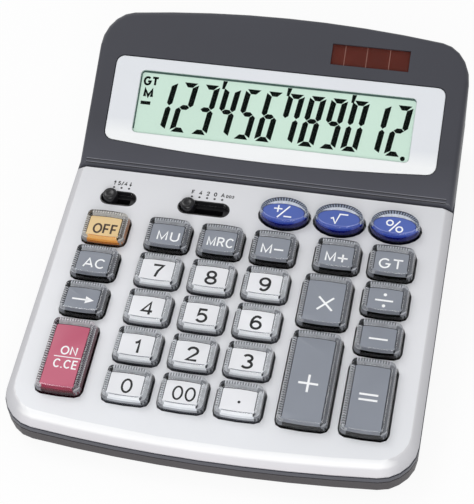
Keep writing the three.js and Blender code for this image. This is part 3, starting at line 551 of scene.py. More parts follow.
# Keys: an opaque core, fluted on three sides, in a clear shell that stands proud round its top.
# The walls lean in above a skirt, up to a rounded edge, and the front and rear bow out
SKIRT = 0.4
LEAN_POWER = 1.7
SIDE_LEAN = 0.7
FRONT_LEAN = 0.75
REAR_LEAN = 0.4
EDGE = 0.45
KEY_BOW = 0.45
KEY_CORNER = 2
LEAST_CORNER = 0.5
CORNER_STEPS = 5
SIDE_STEPS = (8, 6)
# The shell rises from its foot to its edge, and its lip goes down into the core
SHELL_FOOT = 0.25
SHELL_WALL_STEPS = 4
SHELL_EDGE_STEPS = 4
SHELL_LIP_OUT = 0.15
SHELL_LIP_DROP = 0.12
SHELL_SINK = 0.08
SHELL_TUCK = 0.05
# The core by its distance from the key's own sides, and by heights
CORE_SIDE = 1.95
CORE_REAR = 3.0
CORE_DROP = 0.3
CORE_EDGE = 0.28
CORE_FRONT = 0.35
CORE_CORNER = 0.5
CORE_DEPTH = -1.4
# The liner is the core's lower part, close inside the shell up to the ledge that bears the ribs
LINER_GAP = 0.15
LINER_LEVELS = (0.85, 1.9, 2.75)
LEDGE_RISE = 0.02
LEDGE_FRONT = 0.3
RIB_REACH = 0.75
OVAL_RIB_REACH = 1.0
RIB_PITCH = 0.95
RIB_DEPTH = 0.2
RIB_DROP = 0.3
RIB_STEPS = 2
# The oval keys
OVAL_STEPS = 48
OVAL_FRONT_TURN = -0.25
OVAL_REVEAL = 0.35
OVAL_LEAN = 0.5
OVAL_SHIFT = 0.2
OVAL_CORE = (7.6, 3.55)
OVAL_CORE_SHIFT = -0.85
OVAL_KEYS = ("key_percent", "key_root", "key_sign")
# Liner paint of each ring of a core from foot to rim, on even and odd faces, which puts painted
# shade on the right walls, the lower front, the foot and the rear corners; c is the core itself
ZONE_PARTS = {
    "front": ("ffonnnhhhe", "ffonnnhhhe"), "front_left": ("ffwwbllllc", "ffwwbllllc"),
    "front_right": ("ffwwbbvvvc", "ffrwbbvvvc"), "right": ("ffrrbwwwwm", "ffrrwvvvvm"),
    "rear_right": ("ffrrlwkkkm", "ffrrlwkkkm"), "rear": ("ffwwblmmmk", "ffvvwlmmmk"),
    "rear_left": ("ffwwvkkkkm", "ffwwvkkkkm"), "left": ("ffwwbbmmmm", "ffvvvwmmmm"),
    "oval_rear": ("ffwwbllllm", "ffvvvllllm"), "oval_front": ("ffoonnhhhe", "ffoonnhhhe"),
}
# Keys with liner paints of their own on some sides, with the same kind of painted shade
OWN_PARTS = {
    ("key_grey", "right"): ("ffrrbwwwwm", "ffrrvwvvvm"),
    ("key_grey", "front"): ("ffoonnhhhe", "ffoonnhhhe"),
    ("key_white", "left"): ("fflbbbmmmm", "fflbwbmmmm"),
    ("key_white", "right"): ("ffrwbbllwm", "ffrwbbwwvm"),
}


# Rounded rectangle whose ends may bow out and whose sides may be fluted
def rounded(half, front, rear, corner, steps, across, along, flute=0.0, bow=0.0, reach=None):
    points = []

    def arc(x, s, start):
        for i in range(steps + 1):
            turn = start + i / steps * math.pi / 2
            points.append((x + corner * math.cos(turn), s + corner * math.sin(turn)))

    def side(start, end, count, inward):
        for i in range(1, count):
            sink = flute if i % 2 else 0
            points.append(tuple(a + (b - a) * i / count + sink * n
                                for a, b, n in zip(start, end, inward)))

    left, right, low, high = corner - half, half - corner, front + corner, rear - corner
    arc(left, low, math.pi)
    side((left, front), (right, front), across, (0, 0))
    arc(right, low, -math.pi / 2)
    side((half, low), (half, high), along, (-1, 0))
    arc(right, high, 0)
    side((right, rear), (left, rear), across, (0, -1))
    arc(left, high, math.pi / 2)
    side((-half, high), (-half, low), along, (1, 0))
    reach = reach or half
    middle, span = (front + rear) / 2, (rear - front) / 2
    return [(x, s + bow * (x / reach) ** 2 * (middle - s) / span) for x, s in points]


def ellipse(half_x, half_s, count, flute=0.0):
    points = []
    for i in range(count):
        turn = i / count * math.tau
        sink = flute if i % 2 else 0
        points.append(((half_x - sink) * math.cos(turn), (half_s - sink) * math.sin(turn)))
    return points


class Key:
    def __init__(self, name):
        self.name = name
        shown = deck.points(name, SKIRT / 2)
        self.x = (min(p.x for p in shown) + max(p.x for p in shown)) / 2
        self.s = (min(p.y for p in shown) + max(p.y for p in shown)) / 2
        self.half = max(p.x for p in shown) - self.x
        self.depth = max(p.y for p in shown) - self.s
        self.top = max(p.z for p in shown)
        self.oval = name in OVAL_KEYS
        self.body = nodes[name]["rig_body"]
        self.face = self.top - CORE_DROP
        self.across = 2 * round((self.half - CORE_SIDE) * 2 / RIB_PITCH)
        self.along = 2 * round((self.depth * 2 - CORE_REAR) / RIB_PITCH)
        self.around = 2 * round(math.pi * (self.half + self.depth) / RIB_PITCH)

    # How far the walls have leaned in at a height, from 0 to 1
    def lean(self, h):
        share = (h - SKIRT) / (self.top - EDGE - SKIRT)
        return min(1.0, max(0.0, share)) ** LEAN_POWER

    def moved(self, points, shift=0.0):
        return [(x + self.x, s + self.s + shift) for x, s in points]

    # Outline of the shell at a height, or of the liner, a gap inside it
    def outer(self, h, gap=0.0, front_gap=None, dense=False):
        lean = self.lean(h)
        if self.oval:
            half, depth = (size - OVAL_REVEAL - OVAL_LEAN * lean - gap
                           for size in (self.half, self.depth))
            points = ellipse(half, depth, self.around if dense else OVAL_STEPS)
            return self.moved(points, OVAL_SHIFT * lean), h
        across, along = (self.across, self.along) if dense else SIDE_STEPS
        front_gap = gap if front_gap is None else front_gap
        points = rounded(self.half - SIDE_LEAN * lean - gap,
                         FRONT_LEAN * lean + front_gap - self.depth,
                         self.depth - REAR_LEAN * lean - gap,
                         max(KEY_CORNER - gap - lean / 2, LEAST_CORNER), CORNER_STEPS, across,
                         along, bow=KEY_BOW)
        return self.moved(points), h

    # Outline of the core at a height
    def inner(self, h, inset=0.0, flute=0.0, dense=False):
        if self.oval:
            points = ellipse(OVAL_CORE[0] - inset, OVAL_CORE[1] - inset,
                             self.around if dense else OVAL_STEPS, flute)
            return self.moved(points, OVAL_CORE_SHIFT), h
        across, along = (self.across, self.along) if dense else SIDE_STEPS
        points = rounded(self.half - CORE_SIDE - inset,
                         FRONT_LEAN * self.lean(h) + CORE_FRONT + inset - self.depth,
                         self.depth - CORE_REAR - inset, CORE_CORNER, CORNER_STEPS, across, along,
                         flute, KEY_BOW, self.half)
        return self.moved(points), h

    # Part of the key that each point of a dense outline starts
    def zones(self):
        if self.oval:
            turns = [math.sin(i / self.around * math.tau) for i in range(self.around)]
            return ["oval_front" if turn < OVAL_FRONT_TURN else "oval_rear" for turn in turns]
        corner, across, along = CORNER_STEPS + 1, self.across - 1, self.along - 1
        counts = (("front_left", corner), ("front", across), ("front_right", corner),
                  ("right", along), ("rear_right", corner), ("rear", across),
                  ("rear_left", corner), ("left", along))
        return [zone for zone, count in counts for _ in range(count)]

    def core(self, finish, slot):
        ledge = LINER_LEVELS[-1]
        reach = OVAL_RIB_REACH if self.oval else RIB_REACH
        rings = [self.outer(h, LINER_GAP, dense=True) for h in (CORE_DEPTH, SKIRT, *LINER_LEVELS)]
        rings.append(self.outer(ledge + LEDGE_RISE, LINER_GAP + reach, LEDGE_FRONT, dense=True))
        low, high = ledge + 2 * LEDGE_RISE, self.face - RIB_DROP
        for i in range(RIB_STEPS + 1):
            rings.append(self.inner(low + (high - low) * i / RIB_STEPS, 0, RIB_DEPTH, True))
        rings.append(self.inner(self.face - CORE_EDGE / 2, 0, 0, True))
        rings.append(self.inner(self.face, CORE_EDGE, 0, True))
        made = lofted(f"{self.name}_core", rings, deck, finish, body=self.body, slot=slot,
                      replaced=(self.name,), sharp=25)
        # Each face takes its liner paint by side, with the painted shade and highlights listed
        # above
        for part in liner_paint_and_shade[slot]:
            made.data.materials.append(part)
        zones = self.zones()
        for face in made.data.polygons:
            ring, i = divmod(face.index - 2, len(zones))
            if ring >= 0:
                parts = OWN_PARTS.get((slot, zones[i]), ZONE_PARTS[zones[i]])
                face.material_index = LINER_PARTS.find(parts[i % 2][ring]) + 1

    def shell(self):
        rings = [self.outer(SHELL_FOOT)]
        straight = self.top - EDGE
        for i in range(SHELL_WALL_STEPS + 1):
            rings.append(self.outer(SKIRT + (straight - SKIRT) * i / SHELL_WALL_STEPS))
        for i in range(1, SHELL_EDGE_STEPS + 1):
            turn = i / SHELL_EDGE_STEPS * math.pi / 2
            rings.append(self.outer(straight + EDGE * math.sin(turn), EDGE * (1 - math.cos(turn))))
        rings.append(self.inner(self.top, -SHELL_LIP_OUT))
        rings.append(self.inner(self.top - SHELL_LIP_DROP))
        rings.append(self.inner(self.face - SHELL_SINK, SHELL_TUCK))
        lofted(f"{self.name}_shell", rings, deck, shell_clear, body=self.body, slot="clear_plastic",
               sharp=45)


KEY_SLOTS = {
    "key_on_clear": "key_rose", "key_off": "key_orange", "key_percent": "key_blue",
    "key_root": "key_blue", "key_sign": "key_blue",
}
DIGIT_KEYS = [f"key_{part}" for part in (*"0123456789", "double_zero", "point")]
keys = {name: Key(name) for name in nodes
        if name.startswith("key_") and name != "key_membrane"}
for name, key in keys.items():
    slot = KEY_SLOTS.get(name, "key_white" if name in DIGIT_KEYS else "key_grey")
    key.core(core_finish[slot], slot)
    key.shell()


# Marks: flat ribbons and plates that stand a hair above a surface
CLOSED_SHARE = 20
NO_LENGTH = 1e-9
LEAST_MITRE = 0.6


class Marks:
    def __init__(self, slope, low, high):
        self.slope = slope
        self.low = low
        self.high = high
        self.verts = []
        self.faces = []

    def section(self, points):
        start = len(self.verts)
        self.verts += [self.slope.at(x, s, h) for x, s, h in points]
        return start

    def plate(self, points):
        count = len(points)
        low = self.section([(x, s, self.low) for x, s in points])
        self.section([(x, s, self.high) for x, s in points])
        self.faces += [tuple(low + v for v in face) for face in ring_faces(2, count)]

    def line(self, points, width):
        closed = math.dist(points[0], points[-1]) < width / CLOSED_SHARE
        if closed:
            points = points[:-1]
        count = len(points)
        start = len(self.verts)
        for i, (x, s) in enumerate(points):
            before = points[i - 1] if closed or i else points[0]
            after = points[(i + 1) % count] if closed or i < count - 1 else points[-1]
            ahead = Vector((after[0] - x, after[1] - s))
            behind = Vector((x - before[0], s - before[1]))
            ahead, behind = [v.normalized() if v.length > NO_LENGTH else v for v in (ahead, behind)]
            along = (ahead + behind).normalized()
            across = Vector((-along.y, along.x))
            edge = ahead if ahead.length > 0 else behind
            stretch = 1 / max(LEAST_MITRE, abs(across.dot(Vector((-edge.y, edge.x)))))
            dx, ds = across * (width / 2 * stretch)
            self.section([(x + dx, s + ds, self.high), (x - dx, s - ds, self.high),
                          (x - dx, s - ds, self.low), (x + dx, s + ds, self.low)])
        for i in range(count if closed else count - 1):
            a, b = start + 4 * i, start + 4 * ((i + 1) % count)
            self.faces += [(a + k, a + (k + 1) % 4, b + (k + 1) % 4, b + k) for k in range(4)]
        if not closed:
            end = start + 4 * (count - 1)
            self.faces.append((start + 3, start + 2, start + 1, start))
            self.faces.append((end, end + 1, end + 2, end + 3))

    def piece(self, name, material, body, slot):
        return piece(name, self.verts, self.faces, material, body, slot, sharp=20)


# Glyphs one unit tall, with ~ for a broad minus: width, then strokes of points (x, s) and of arcs
# (x, s, rx, rs, start, end)
GLYPHS = {
    "0": (0.56, [[(0.28, 0.5, 0.22, 0.44, 0, 360)]]),
    "1": (0.44, [[(0.1, 0.76), (0.22, 0.81), (0.3, 0.94), (0.3, 0.06)]]),
    "2": (0.56, [[(0.28, 0.69, 0.21, 0.25, 175, -35), (0.07, 0.06), (0.51, 0.06)]]),
    "3": (0.56, [[(0.27, 0.73, 0.19, 0.21, 150, -90)], [(0.27, 0.29, 0.22, 0.23, 90, -150)]]),
    "4": (0.58, [[(0.53, 0.3), (0.06, 0.3), (0.4, 0.94), (0.4, 0.06)]]),
    "5": (0.56, [[(0.47, 0.94), (0.15, 0.94), (0.1, 0.5), (0.27, 0.34, 0.22, 0.28, 130, -150)]]),
    "6": (0.56, [[(0.28, 0.32, 0.21, 0.26, 0, 360)],
                 [(0.07, 0.32), (0.3, 0.46, 0.23, 0.48, 175, 50)]]),
    "7": (0.54, [[(0.06, 0.94), (0.5, 0.94), (0.3, 0.5), (0.22, 0.06)]]),
    "8": (0.56, [[(0.28, 0.72, 0.18, 0.22, 0, 360)], [(0.28, 0.28, 0.22, 0.22, 0, 360)]]),
    "9": (0.56, [[(0.28, 0.68, 0.21, 0.26, 0, 360)],
                 [(0.49, 0.68), (0.26, 0.54, 0.23, 0.48, -5, -130)]]),
    "A": (0.66, [[(0.04, 0.06), (0.33, 0.94), (0.62, 0.06)], [(0.15, 0.34), (0.51, 0.34)]]),
    "C": (0.68, [[(0.36, 0.5, 0.29, 0.44, 42, 318)]]),
    "D": (0.66, [[(0.1, 0.06), (0.1, 0.94), (0.28, 0.5, 0.3, 0.44, 90, -90), (0.1, 0.06)]]),
    "E": (0.58, [[(0.52, 0.94), (0.1, 0.94), (0.1, 0.06), (0.53, 0.06)],
                 [(0.1, 0.51), (0.48, 0.51)]]),
    "F": (0.56, [[(0.52, 0.94), (0.1, 0.94), (0.1, 0.06)], [(0.1, 0.5), (0.46, 0.5)]]),
    "G": (0.72, [[(0.36, 0.5, 0.29, 0.44, 46, 322), (0.64, 0.46), (0.4, 0.46)]]),
    "M": (0.76, [[(0.1, 0.06), (0.1, 0.94), (0.38, 0.14), (0.66, 0.94), (0.66, 0.06)]]),
    "N": (0.68, [[(0.1, 0.06), (0.1, 0.94), (0.58, 0.06), (0.58, 0.94)]]),
    "O": (0.74, [[(0.37, 0.5, 0.31, 0.44, 0, 360)]]),
    "R": (0.66, [[(0.1, 0.06), (0.1, 0.94), (0.34, 0.72, 0.2, 0.22, 90, -90), (0.1, 0.5)],
                 [(0.34, 0.5), (0.56, 0.06)]]),
    "T": (0.6, [[(0.03, 0.94), (0.57, 0.94)], [(0.3, 0.94), (0.3, 0.06)]]),
    "U": (0.68, [[(0.1, 0.94), (0.34, 0.3, 0.24, 0.24, 180, 360), (0.58, 0.94)]]),
    "/": (0.36, [[(0.02, 0.0), (0.34, 1.0)]]),
    "+": (0.68, [[(0.02, 0.44), (0.66, 0.44)], [(0.34, 0.84), (0.34, 0.04)]]),
    "~": (0.62, [[(0.02, 0.5), (0.6, 0.5)]]),
    ".": (0.2, [[(0.1, 0.0), (0.1, 0.12)]]),
}
GLYPH_GAP = 0.07
ARC_STEP = 20
LEAST_ARC_STEPS = 3


# A stroke's points, with its arcs drawn out
def expanded(stroke):
    points = []
    for item in stroke:
        if len(item) == 2:
            points.append(item)
            continue
        x, s, rx, rs, start, end = item
        count = max(LEAST_ARC_STEPS, round(abs(end - start) / ARC_STEP))
        for i in range(count + 1):
            turn = math.radians(start + (end - start) * i / count)
            points.append((x + rx * math.cos(turn), s + rs * math.sin(turn)))
    return points


# Text whose middle is at x and s
def write(marks, text, x, s, size, weight, stretch=1.0, gap=GLYPH_GAP):
    widths = [GLYPHS[glyph][0] for glyph in text]
    at = -(sum(widths) + gap * (len(text) - 1)) / 2
    for glyph, width in zip(text, widths):
        for stroke in GLYPHS[glyph][1]:
            marks.line([(x + (at + px) * size * stretch, s + (py - 0.5) * size)
                        for px, py in expanded(stroke)], weight)
        at += width + gap


def disc(marks, x, s, radius, sides=16):
    marks.plate([(x + dx, s + ds) for dx, ds in ellipse(radius, radius, sides)])


# Legends: text, offset from the middle of the key, size, weight, stretch, and one line
INK = 0.03
CLEAR_LINE = ([(-3.65, -1.65), (5.75, -1.65)], 0.32)
LEGENDS = {
    "key_0": [("0", 0.5, -1.5, 5.5, 0.72, 1.3)],
    "key_double_zero": [("00", 0.85, -1.4, 5.4, 0.66, 1.25)],
    "key_1": [("1", 0.3, -1.6, 5.5, 0.88, 1.25)], "key_2": [("2", 0.4, -1.5, 5.5, 0.88, 1.4)],
    "key_3": [("3", 0.1, -1.5, 5.5, 0.88, 1.4)], "key_4": [("4", 0.3, -1.6, 5.5, 0.88, 1.4)],
    "key_5": [("5", 0.35, -1.6, 5.5, 0.88, 1.4)], "key_6": [("6", 0.1, -1.5, 5.5, 0.88, 1.4)],
    "key_7": [("7", 0.15, -1.45, 5.5, 0.88, 1.4)], "key_8": [("8", 0.3, -1.35, 5.6, 0.88, 1.4)],
    "key_9": [("9", 0.1, -1.3, 5.6, 0.88, 1.4)],
    "key_markup": [("MU", 0.7, -1.8, 4.0, 0.56, 1.42)],
    "key_memory_recall": [("MRC", 0.4, -1.6, 4.0, 0.56, 1.08)],
    "key_memory_minus": [("M~", -0.15, -1.8, 4.0, 0.62, 1.42)],
    "key_memory_plus": [("M+", 0.0, -1.8, 4.0, 0.62, 1.36)],
    "key_grand_total": [("GT", -0.1, -1.8, 4.1, 0.6, 1.5)],
    "key_all_clear": [("AC", 0.5, -1.6, 4.0, 0.56, 1.4)],
    "key_off": [("OFF", 0.6, -2.1, 4.2, 0.72, 1.04)],
    "key_on_clear": [("ON", 1.0, 0.9, 3.3, 0.52, 1.2), ("C.CE", 1.0, -4.3, 3.3, 0.5, 1.08)],
}


def legend(key):
    return Marks(deck, key.face - INK, key.face + INK)


for name, texts in LEGENDS.items():
    key = keys[name]
    marks = legend(key)
    for text, dx, ds, size, weight, stretch in texts:
        write(marks, text, key.x + dx, key.s + ds, size, weight, stretch)
    if name == "key_on_clear":
        marks.line(key.moved(CLEAR_LINE[0]), CLEAR_LINE[1])
    dark = name in DIGIT_KEYS
    ink, slot = (black_ink, "black_plastic") if dark else (white_ink, "key_white")
    if name == "key_off":
        ink, slot = brown_ink, "black_plastic"
    marks.piece(f"{name}_legend", ink, key.body, slot)

# Signs of the operator keys, in millimetres from the middle of the key
SIGN_WEIGHT = 0.55


def sign(name, lines=(), dots=(), plates=(), weight=SIGN_WEIGHT, ink=white_ink, slot="key_white"):
    key = keys[name]
    marks = legend(key)
    for line in lines:
        marks.line(key.moved(expanded(line)), weight)
    for x, s, radius in dots:
        disc(marks, key.x + x, key.s + s, radius)
    for plate in plates:
        marks.plate(key.moved(plate))
    marks.piece(f"{name}_legend", ink, key.body, slot)


# Twelve-sided cross with arms along x and s, or turned
def cross(x, s, arm, weight, turn=0.0):
    half = weight / 2
    corners = [(arm, -half), (arm, half), (half, half), (half, arm), (-half, arm), (-half, half),
               (-arm, half), (-arm, -half), (-half, -half), (-half, -arm), (half, -arm),
               (half, -half)]
    c, n = math.cos(turn), math.sin(turn)
    return [(x + c * px - n * py, s + n * px + c * py) for px, py in corners]


sign("key_plus", plates=[cross(0, -2.7, 3.3, 0.78)])
sign("key_multiply", plates=[cross(0.5, -2.0, 3.65, 0.72, math.pi / 4)])
sign("key_divide", [[(-3.3, -1.6), (2.8, -1.6)]],
     dots=[(-0.15, 0.75, 0.6), (-0.15, -3.75, 0.6)], weight=0.66)
sign("key_minus", [[(-3.15, -1.6), (3.15, -1.6)]], weight=0.66)
sign("key_equals", [[(-3.1, 0.1), (3.1, 0.1)], [(-3.1, -1.9), (3.1, -1.9)]], weight=0.72)
sign("key_backspace", [[(-3.5, -1.5), (2.2, -1.5)]],
     plates=[[(1.2, -0.05), (4.2, -1.5), (1.2, -2.95)]], weight=0.6)
sign("key_point", dots=[(0.3, -1.6, 0.5)], ink=black_ink, slot="black_plastic")
sign("key_percent", [[(-1.8, -0.2, 1.1, 1.1, 0, 360)], [(1.8, -2.6, 1.1, 1.1, 0, 360)],
                     [(-1.6, -3.8), (1.7, 1.0)]])
sign("key_root", [[(-2.8, -1.3), (-2.0, -0.9), (-1.0, -3.3), (0.2, 0.9), (3.1, 0.9)]])
sign("key_sign", [[(-1.9, -3.6), (1.9, 1.7)], [(0.3, -2.9), (3.1, -2.9)]],
     plates=[cross(-2.1, 0.2, 1.5, SIGN_WEIGHT)])


# Outline of a slot, with round ends
def pill(half, radius, steps=12):
    points = []
    for side in (1, -1):
        for i in range(steps + 1):
            turn = math.pi * (i / steps - 0.5)
            points.append((side * (half + radius * math.cos(turn)), side * radius * math.sin(turn)))
    return points


# Black lip of each slot: gap from the knob's own radius, and height; a slot is longer than the
# knob's travel at both ends
SLOT_END = 0.8
SLOT_LIP = [(0.75, -0.02), (0.7, 0.1), (0.62, 0.14), (0.32, 0.14), (0.26, 0.08), (0.25, -1.9),
            (0.5, -1.9)]

# Knobs: smooth black buttons with a domed top, by share of the knob's own radius and height
KNOB_RINGS = [(1.0, -1.5), (1.0, 0.3), (1.07, 0.42), (1.08, 1.5), (1.06, 2.1), (0.98, 2.5),
              (0.86, 2.72), (0.66, 2.82), (0.46, 2.84), (0.36, 2.74), (0.12, 2.72)]
KNOB_SIDES = 40
KNOB_TRAVELS = {"rounding_knob": 5.6, "decimal_knob": 11.2}
for name, travel in KNOB_TRAVELS.items():
    low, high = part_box(name)
    x = deck.local((low + high) / 2).x
    button = deck.points(name, 0)
    radius = (max(p.x for p in button) - min(p.x for p in button)) / 2
    s = (max(p.y for p in button) + min(p.y for p in button)) / 2
    rings = [([(x + dx, s + ds) for dx, ds in ellipse(radius * share, radius * share, KNOB_SIDES)],
              h) for share, h in KNOB_RINGS]
    lofted(f"{name}_dome", rings, deck, black, body=nodes[name]["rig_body"], slot="black_plastic",
           replaced=(name,))
    half = travel / 2
    outlines = [([(x + half + dx, s + ds) for dx, ds in pill(half + SLOT_END, radius + gap)], h)
                for gap, h in SLOT_LIP]
    verts = [deck.at(*point, h) for ring, h in outlines for point in ring]
    count = len(outlines[0][0])
    faces = ring_faces(len(outlines), count)[2:]
    last = len(verts) - count
    faces += [(last + i, last + (i + 1) % count, (i + 1) % count, i) for i in range(count)]
    piece(f"{name}_slot_lip", verts, faces, black, slot="black_plastic")

# Marks over the two slots: a dot for each stop, and arrows or letters above the dots
STOPS = (-53.2, -50.4, -47.6, -24.05, -21.25, -18.45, -15.65, -12.85)
STOP_LINE = 102.0
STOP_DOT = 0.42
STOP_SIDES = 10
TEXT_LINE = 104.05
TEXT_SIZE = 1.7
TEXT_STRETCH = 1.1
TEXT_GAP = 0.2
# Letters over the stops: text, x, size and weight
STOP_TEXTS = (("5/4", -50.4, 1.7, 0.34), ("F", -24.0, 1.7, 0.36), ("4", -21.15, 1.7, 0.36),
              ("2", -18.4, 1.7, 0.36), ("0", -15.7, 1.7, 0.36), ("A", -12.95, 1.75, 0.36),
              ("DD2", -10.25, 1.15, 0.28))
# Arrows by x and way, their shaft by half length and width, their head by half width and ends
ARROWS = ((-53.3, 1), (-47.4, -1))
ARROW_SHAFT = (0.9, 0.3)
ARROW_HEAD = (0.55, 0.2, 1.1)

slot_marks = Marks(deck, 0, INK)
for x in STOPS:
    disc(slot_marks, x, STOP_LINE, STOP_DOT, STOP_SIDES)
for x, way in ARROWS:
    half, width = ARROW_SHAFT
    slot_marks.line([(x, TEXT_LINE - half), (x, TEXT_LINE + half)], width)
    half, foot, tip = ARROW_HEAD
    foot, tip = TEXT_LINE + foot * way, TEXT_LINE + tip * way
    slot_marks.plate([(x - half, foot), (x, tip), (x + half, foot)])
for text, x, size, weight in STOP_TEXTS:
    write(slot_marks, text, x, TEXT_LINE - (TEXT_SIZE - size) / 2, size, weight, TEXT_STRETCH,
          TEXT_GAP)
slot_marks.piece("slot_marks", black_ink, ROOT, "black_plastic")

# Fine lines along the head's front edge, painted highlights and painted shade for the light on its
# rounded edge and the shade of its step: colour, then the place and width of each line
PAINTED_LINE_HALF = 66.4
PAINTED_EDGE_LINES = {
    "head_seam_light": ((122, 123, 131), ((2.25, 0.22), (1.0, 0.2))),
    "head_seam_dark": ((34, 34, 38), ((1.9, 0.32), (0.62, 0.3))),
}
for name, (color, lines) in PAINTED_EDGE_LINES.items():
    seam = Marks(head, 0, INK)
    for s, width in lines:
        seam.line([(-PAINTED_LINE_HALF, s), (PAINTED_LINE_HALF, s)], width)
    seam.piece(name, surface(name, color, rough=0.4), ROOT, "head_plastic")

# Display: twelve digits of seven segments
CELL_PITCH = 7.95
CELL_LEFT = -45.45
CELL_FOOT = 15.95
CELL_WIDTH = 6.1
CELL_HEIGHT = 19.2
SEGMENT = 1.8
UPRIGHT = 2.05
SEGMENT_GAP = 0.16
SEGMENT_CUT = 0.3
SEGMENT_NOTCH = 0.4
SLANT = 0.13
GLASS_DEPTH = -1.1
DIGITS_SHOWN = "123456789012"
SEGMENTS = {"0": "abcdef", "1": "bc", "2": "abged", "3": "abgcd", "4": "fgbc", "5": "afgcd",
            "6": "afgecd", "7": "fabc", "8": "abcdefg", "9": "abcdfg"}
# Apostrophes by x, the point, words with x, s, size, weight and stretch, and a minus bar
APOSTROPHES = (-19.7, 4.5, 28.4)
APOSTROPHE = ((-0.45, 37.2), (1.2, 37.2), (0.35, 34.1), (-0.6, 34.1))
POINT = (48.95, 15.45, 0.88)
LCD_WORDS = (("GT", -47.25, 34.2, 3.2, 0.8, 1.25), ("M", -47.6, 29.55, 3.1, 1.15, 1.5))
LCD_BAR = ([(-49.95, 25.75), (-46.25, 25.75)], 1.3)


# Outline of one segment: a is the top bar, b to f follow clockwise, and g is the middle bar
def segment(kind):
    w, h, t, u, g = CELL_WIDTH, CELL_HEIGHT, SEGMENT, UPRIGHT, SEGMENT_GAP
    m, cut, notch = h / 2, t * SEGMENT_CUT, g * SEGMENT_NOTCH
    upper = [(0, h - cut - g), (u, h - t - 2 * notch), (u, m + t / 2 + g), (u / 2, m + g),
             (0, m + t / 2 + g)]
    bar = [(cut, h), (w - cut, h), (w - u - notch, h - t), (u + notch, h - t)]
    middle = [(u / 2 + g, m), (u + g, m + t / 2), (w - u - g, m + t / 2), (w - u / 2 - g, m),
              (w - u - g, m - t / 2), (u + g, m - t / 2)]

    def right(points):
        return [(w - x, s) for x, s in reversed(points)]

    def lower(points):
        return [(x, h - s) for x, s in reversed(points)]

    return {"f": upper, "b": right(upper), "e": lower(upper), "c": lower(right(upper)),
            "a": bar, "d": lower(bar), "g": middle}[kind]


def slanted(points, x):
    return [(x + px + SLANT * py, CELL_FOOT + py) for px, py in points]


lcd = Marks(head, GLASS_DEPTH, GLASS_DEPTH + INK)
for place, digit in enumerate(DIGITS_SHOWN):
    for kind in SEGMENTS[digit]:
        lcd.plate(slanted(segment(kind), CELL_LEFT + place * CELL_PITCH))
for x in APOSTROPHES:
    lcd.plate([(x + dx, s) for dx, s in APOSTROPHE])
disc(lcd, *POINT)
for word in LCD_WORDS:
    write(lcd, *word)
lcd.line(*LCD_BAR)
lcd.piece("display_digits", lcd_ink, ROOT, "black_plastic")

# Shade of the frame's wall on the glass, along the left and rear of the view
VIEW_HALF = 51.335
VIEW_FRONT = 13.95
VIEW_REAR = 38.1
VIEW_CORNER = 1.6
SHADE_LEFT = 0.5
SHADE_REAR = 0.75
SHADE_START = 10
SHADE_STEPS = 6


def view_corner(side, across, along, start, end):
    x, s = side * (VIEW_HALF - VIEW_CORNER), VIEW_REAR - VIEW_CORNER
    turns = [math.radians(start + (end - start) * i / SHADE_STEPS) for i in range(SHADE_STEPS + 1)]
    return [(x + across * math.cos(turn), s + along * math.sin(turn)) for turn in turns]


shade = Marks(head, GLASS_DEPTH, GLASS_DEPTH + INK)
shade.plate([
    (-VIEW_HALF, VIEW_FRONT + VIEW_CORNER),
    *view_corner(-1, VIEW_CORNER, VIEW_CORNER, 180, 90),
    *view_corner(1, VIEW_CORNER, VIEW_CORNER, 90, 0),
    *view_corner(1, VIEW_CORNER, VIEW_CORNER - SHADE_REAR, SHADE_START, 90),
    *view_corner(-1, VIEW_CORNER - SHADE_LEFT, VIEW_CORNER - SHADE_REAR, 90, 180),
    (-VIEW_HALF + SHADE_LEFT, VIEW_FRONT + VIEW_CORNER),
])
shade.piece("display_edge_shade", lcd_shade, ROOT, "black_plastic")

# Grip ridges of the battery door, and an arrow that shows the way it slides, by its half width,
# its length and how far its tip stands off the ridges
RIDGE_COUNT = 7
RIDGE_PITCH = 1.5
RIDGE_SIZE = (15, 0.7, 0.3)
RIDGE_ROOT = 0.1
DOOR_ARROW = (2, 2.2, 2)
door_low, door_high = (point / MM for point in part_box("battery_door"))
door_way = next(j for j in frame["joints"] if j["child"] == "battery_door")["axis"][1]
ridge_start = (door_low.y + door_high.y) / 2 - door_way * RIDGE_COUNT * RIDGE_PITCH / 2


# Stands in for a slope where marks lie level
class Flat:
    def at(self, x, s, h):
        return Vector((x, s, h)) * MM


ridges = Marks(Flat(), door_low.z - RIDGE_SIZE[2], door_low.z + RIDGE_ROOT)
for i in range(RIDGE_COUNT):
    y = ridge_start + door_way * i * RIDGE_PITCH
    ridges.plate([(x * RIDGE_SIZE[0] / 2, y + way * RIDGE_SIZE[1] / 2)
                  for x, way in ((-1, -1), (1, -1), (1, 1), (-1, 1))])
half, length, stand_off = DOOR_ARROW
tip = ridge_start + door_way * (RIDGE_COUNT * RIDGE_PITCH + stand_off)
foot = tip - door_way * length
ridges.plate([(-half, foot), (half, foot), (0, tip)])
ridges.piece("battery_door_ridges", base_grey, nodes["battery_door"]["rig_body"], "base_plastic")

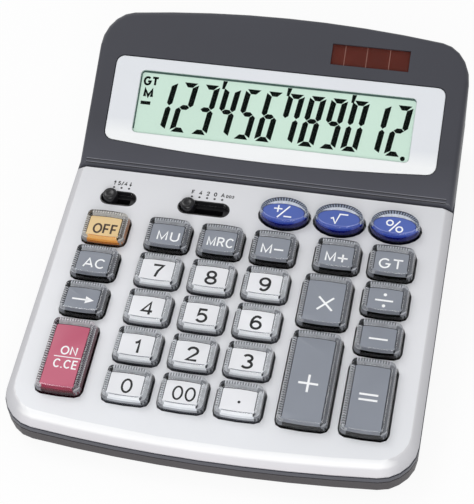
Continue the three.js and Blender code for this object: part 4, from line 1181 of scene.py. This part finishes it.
# Wires of the solar cell
WIRES = (23.0, 31.07, 39.44)
WIRE_ENDS = (47.5, 55.5)
WIRE_WIDTH = 0.28
cell_top = max(p.z for p in head.points("solar_cell"))
wires = Marks(head, cell_top, cell_top + INK)
for x in WIRES:
    wires.line([(x, s) for s in WIRE_ENDS], WIRE_WIDTH)
wires.piece("solar_wires", solar_wire, ROOT, "contact_metal")


# Floor, lamps and world, with lengths in metres; a lamp has a place, a size and a power
FLOOR_HALF = 4
FLOOR_GLOW = 0.9
WORLD_LIGHT = 0.53
LAMP_TARGET = (0, 0, 0.02)
LAMPS = {
    "key_lamp": ((-1.1, 0.7, 1.7), 0.9, 10.5),
    "front_lamp": ((0.3, -1.7, 1.1), 1.2, 20),
}


# The floor glows where it is seen, directly or in the part, and is lit like paper otherwise
def add_floor():
    mesh = bpy.data.meshes.new("floor")
    mesh.from_pydata([(x * FLOOR_HALF, y * FLOOR_HALF, 0)
                      for x, y in ((-1, -1), (1, -1), (1, 1), (-1, 1))], [], [(0, 1, 2, 3)])
    material = surface("floor_paper", (248, 248, 248), rough=0.8, vary=0.002, cloud=3, bump=0.02)
    tree = material.node_tree
    shader = tree.nodes["Principled BSDF"]
    shader.inputs["Specular IOR Level"].default_value = 0
    glow = node(tree, "ShaderNodeEmission")
    rays = node(tree, "ShaderNodeLightPath").outputs
    seen = maths(tree, "MAXIMUM", rays["Is Camera Ray"], rays["Is Glossy Ray"])
    seen = maths(tree, "MAXIMUM", seen, rays["Is Transmission Ray"])
    share = maths(tree, "MULTIPLY", seen, FLOOR_GLOW)
    blend(tree, share, shader.outputs["BSDF"], glow.outputs["Emission"])
    mesh.materials.append(material)
    linked("floor", mesh)


def add_lamp(name, place, size, power):
    data = bpy.data.lights.new(name, "AREA")
    data.size = size
    data.energy = power
    turn = (Vector(LAMP_TARGET) - Vector(place)).to_track_quat("-Z", "Y").to_matrix().to_4x4()
    linked(name, data).matrix_world = Matrix.Translation(Vector(place)) @ turn


def add_world():
    world = bpy.data.worlds.new("studio")
    world.use_nodes = True
    back = world.node_tree.nodes["Background"]
    back.inputs["Color"].default_value = (1, 1, 1, 1)
    back.inputs["Strength"].default_value = WORLD_LIGHT
    bpy.context.scene.world = world


add_floor()
for name, settings in LAMPS.items():
    add_lamp(name, *settings)
add_world()

bpy.context.scene.view_settings.view_transform = "Standard"
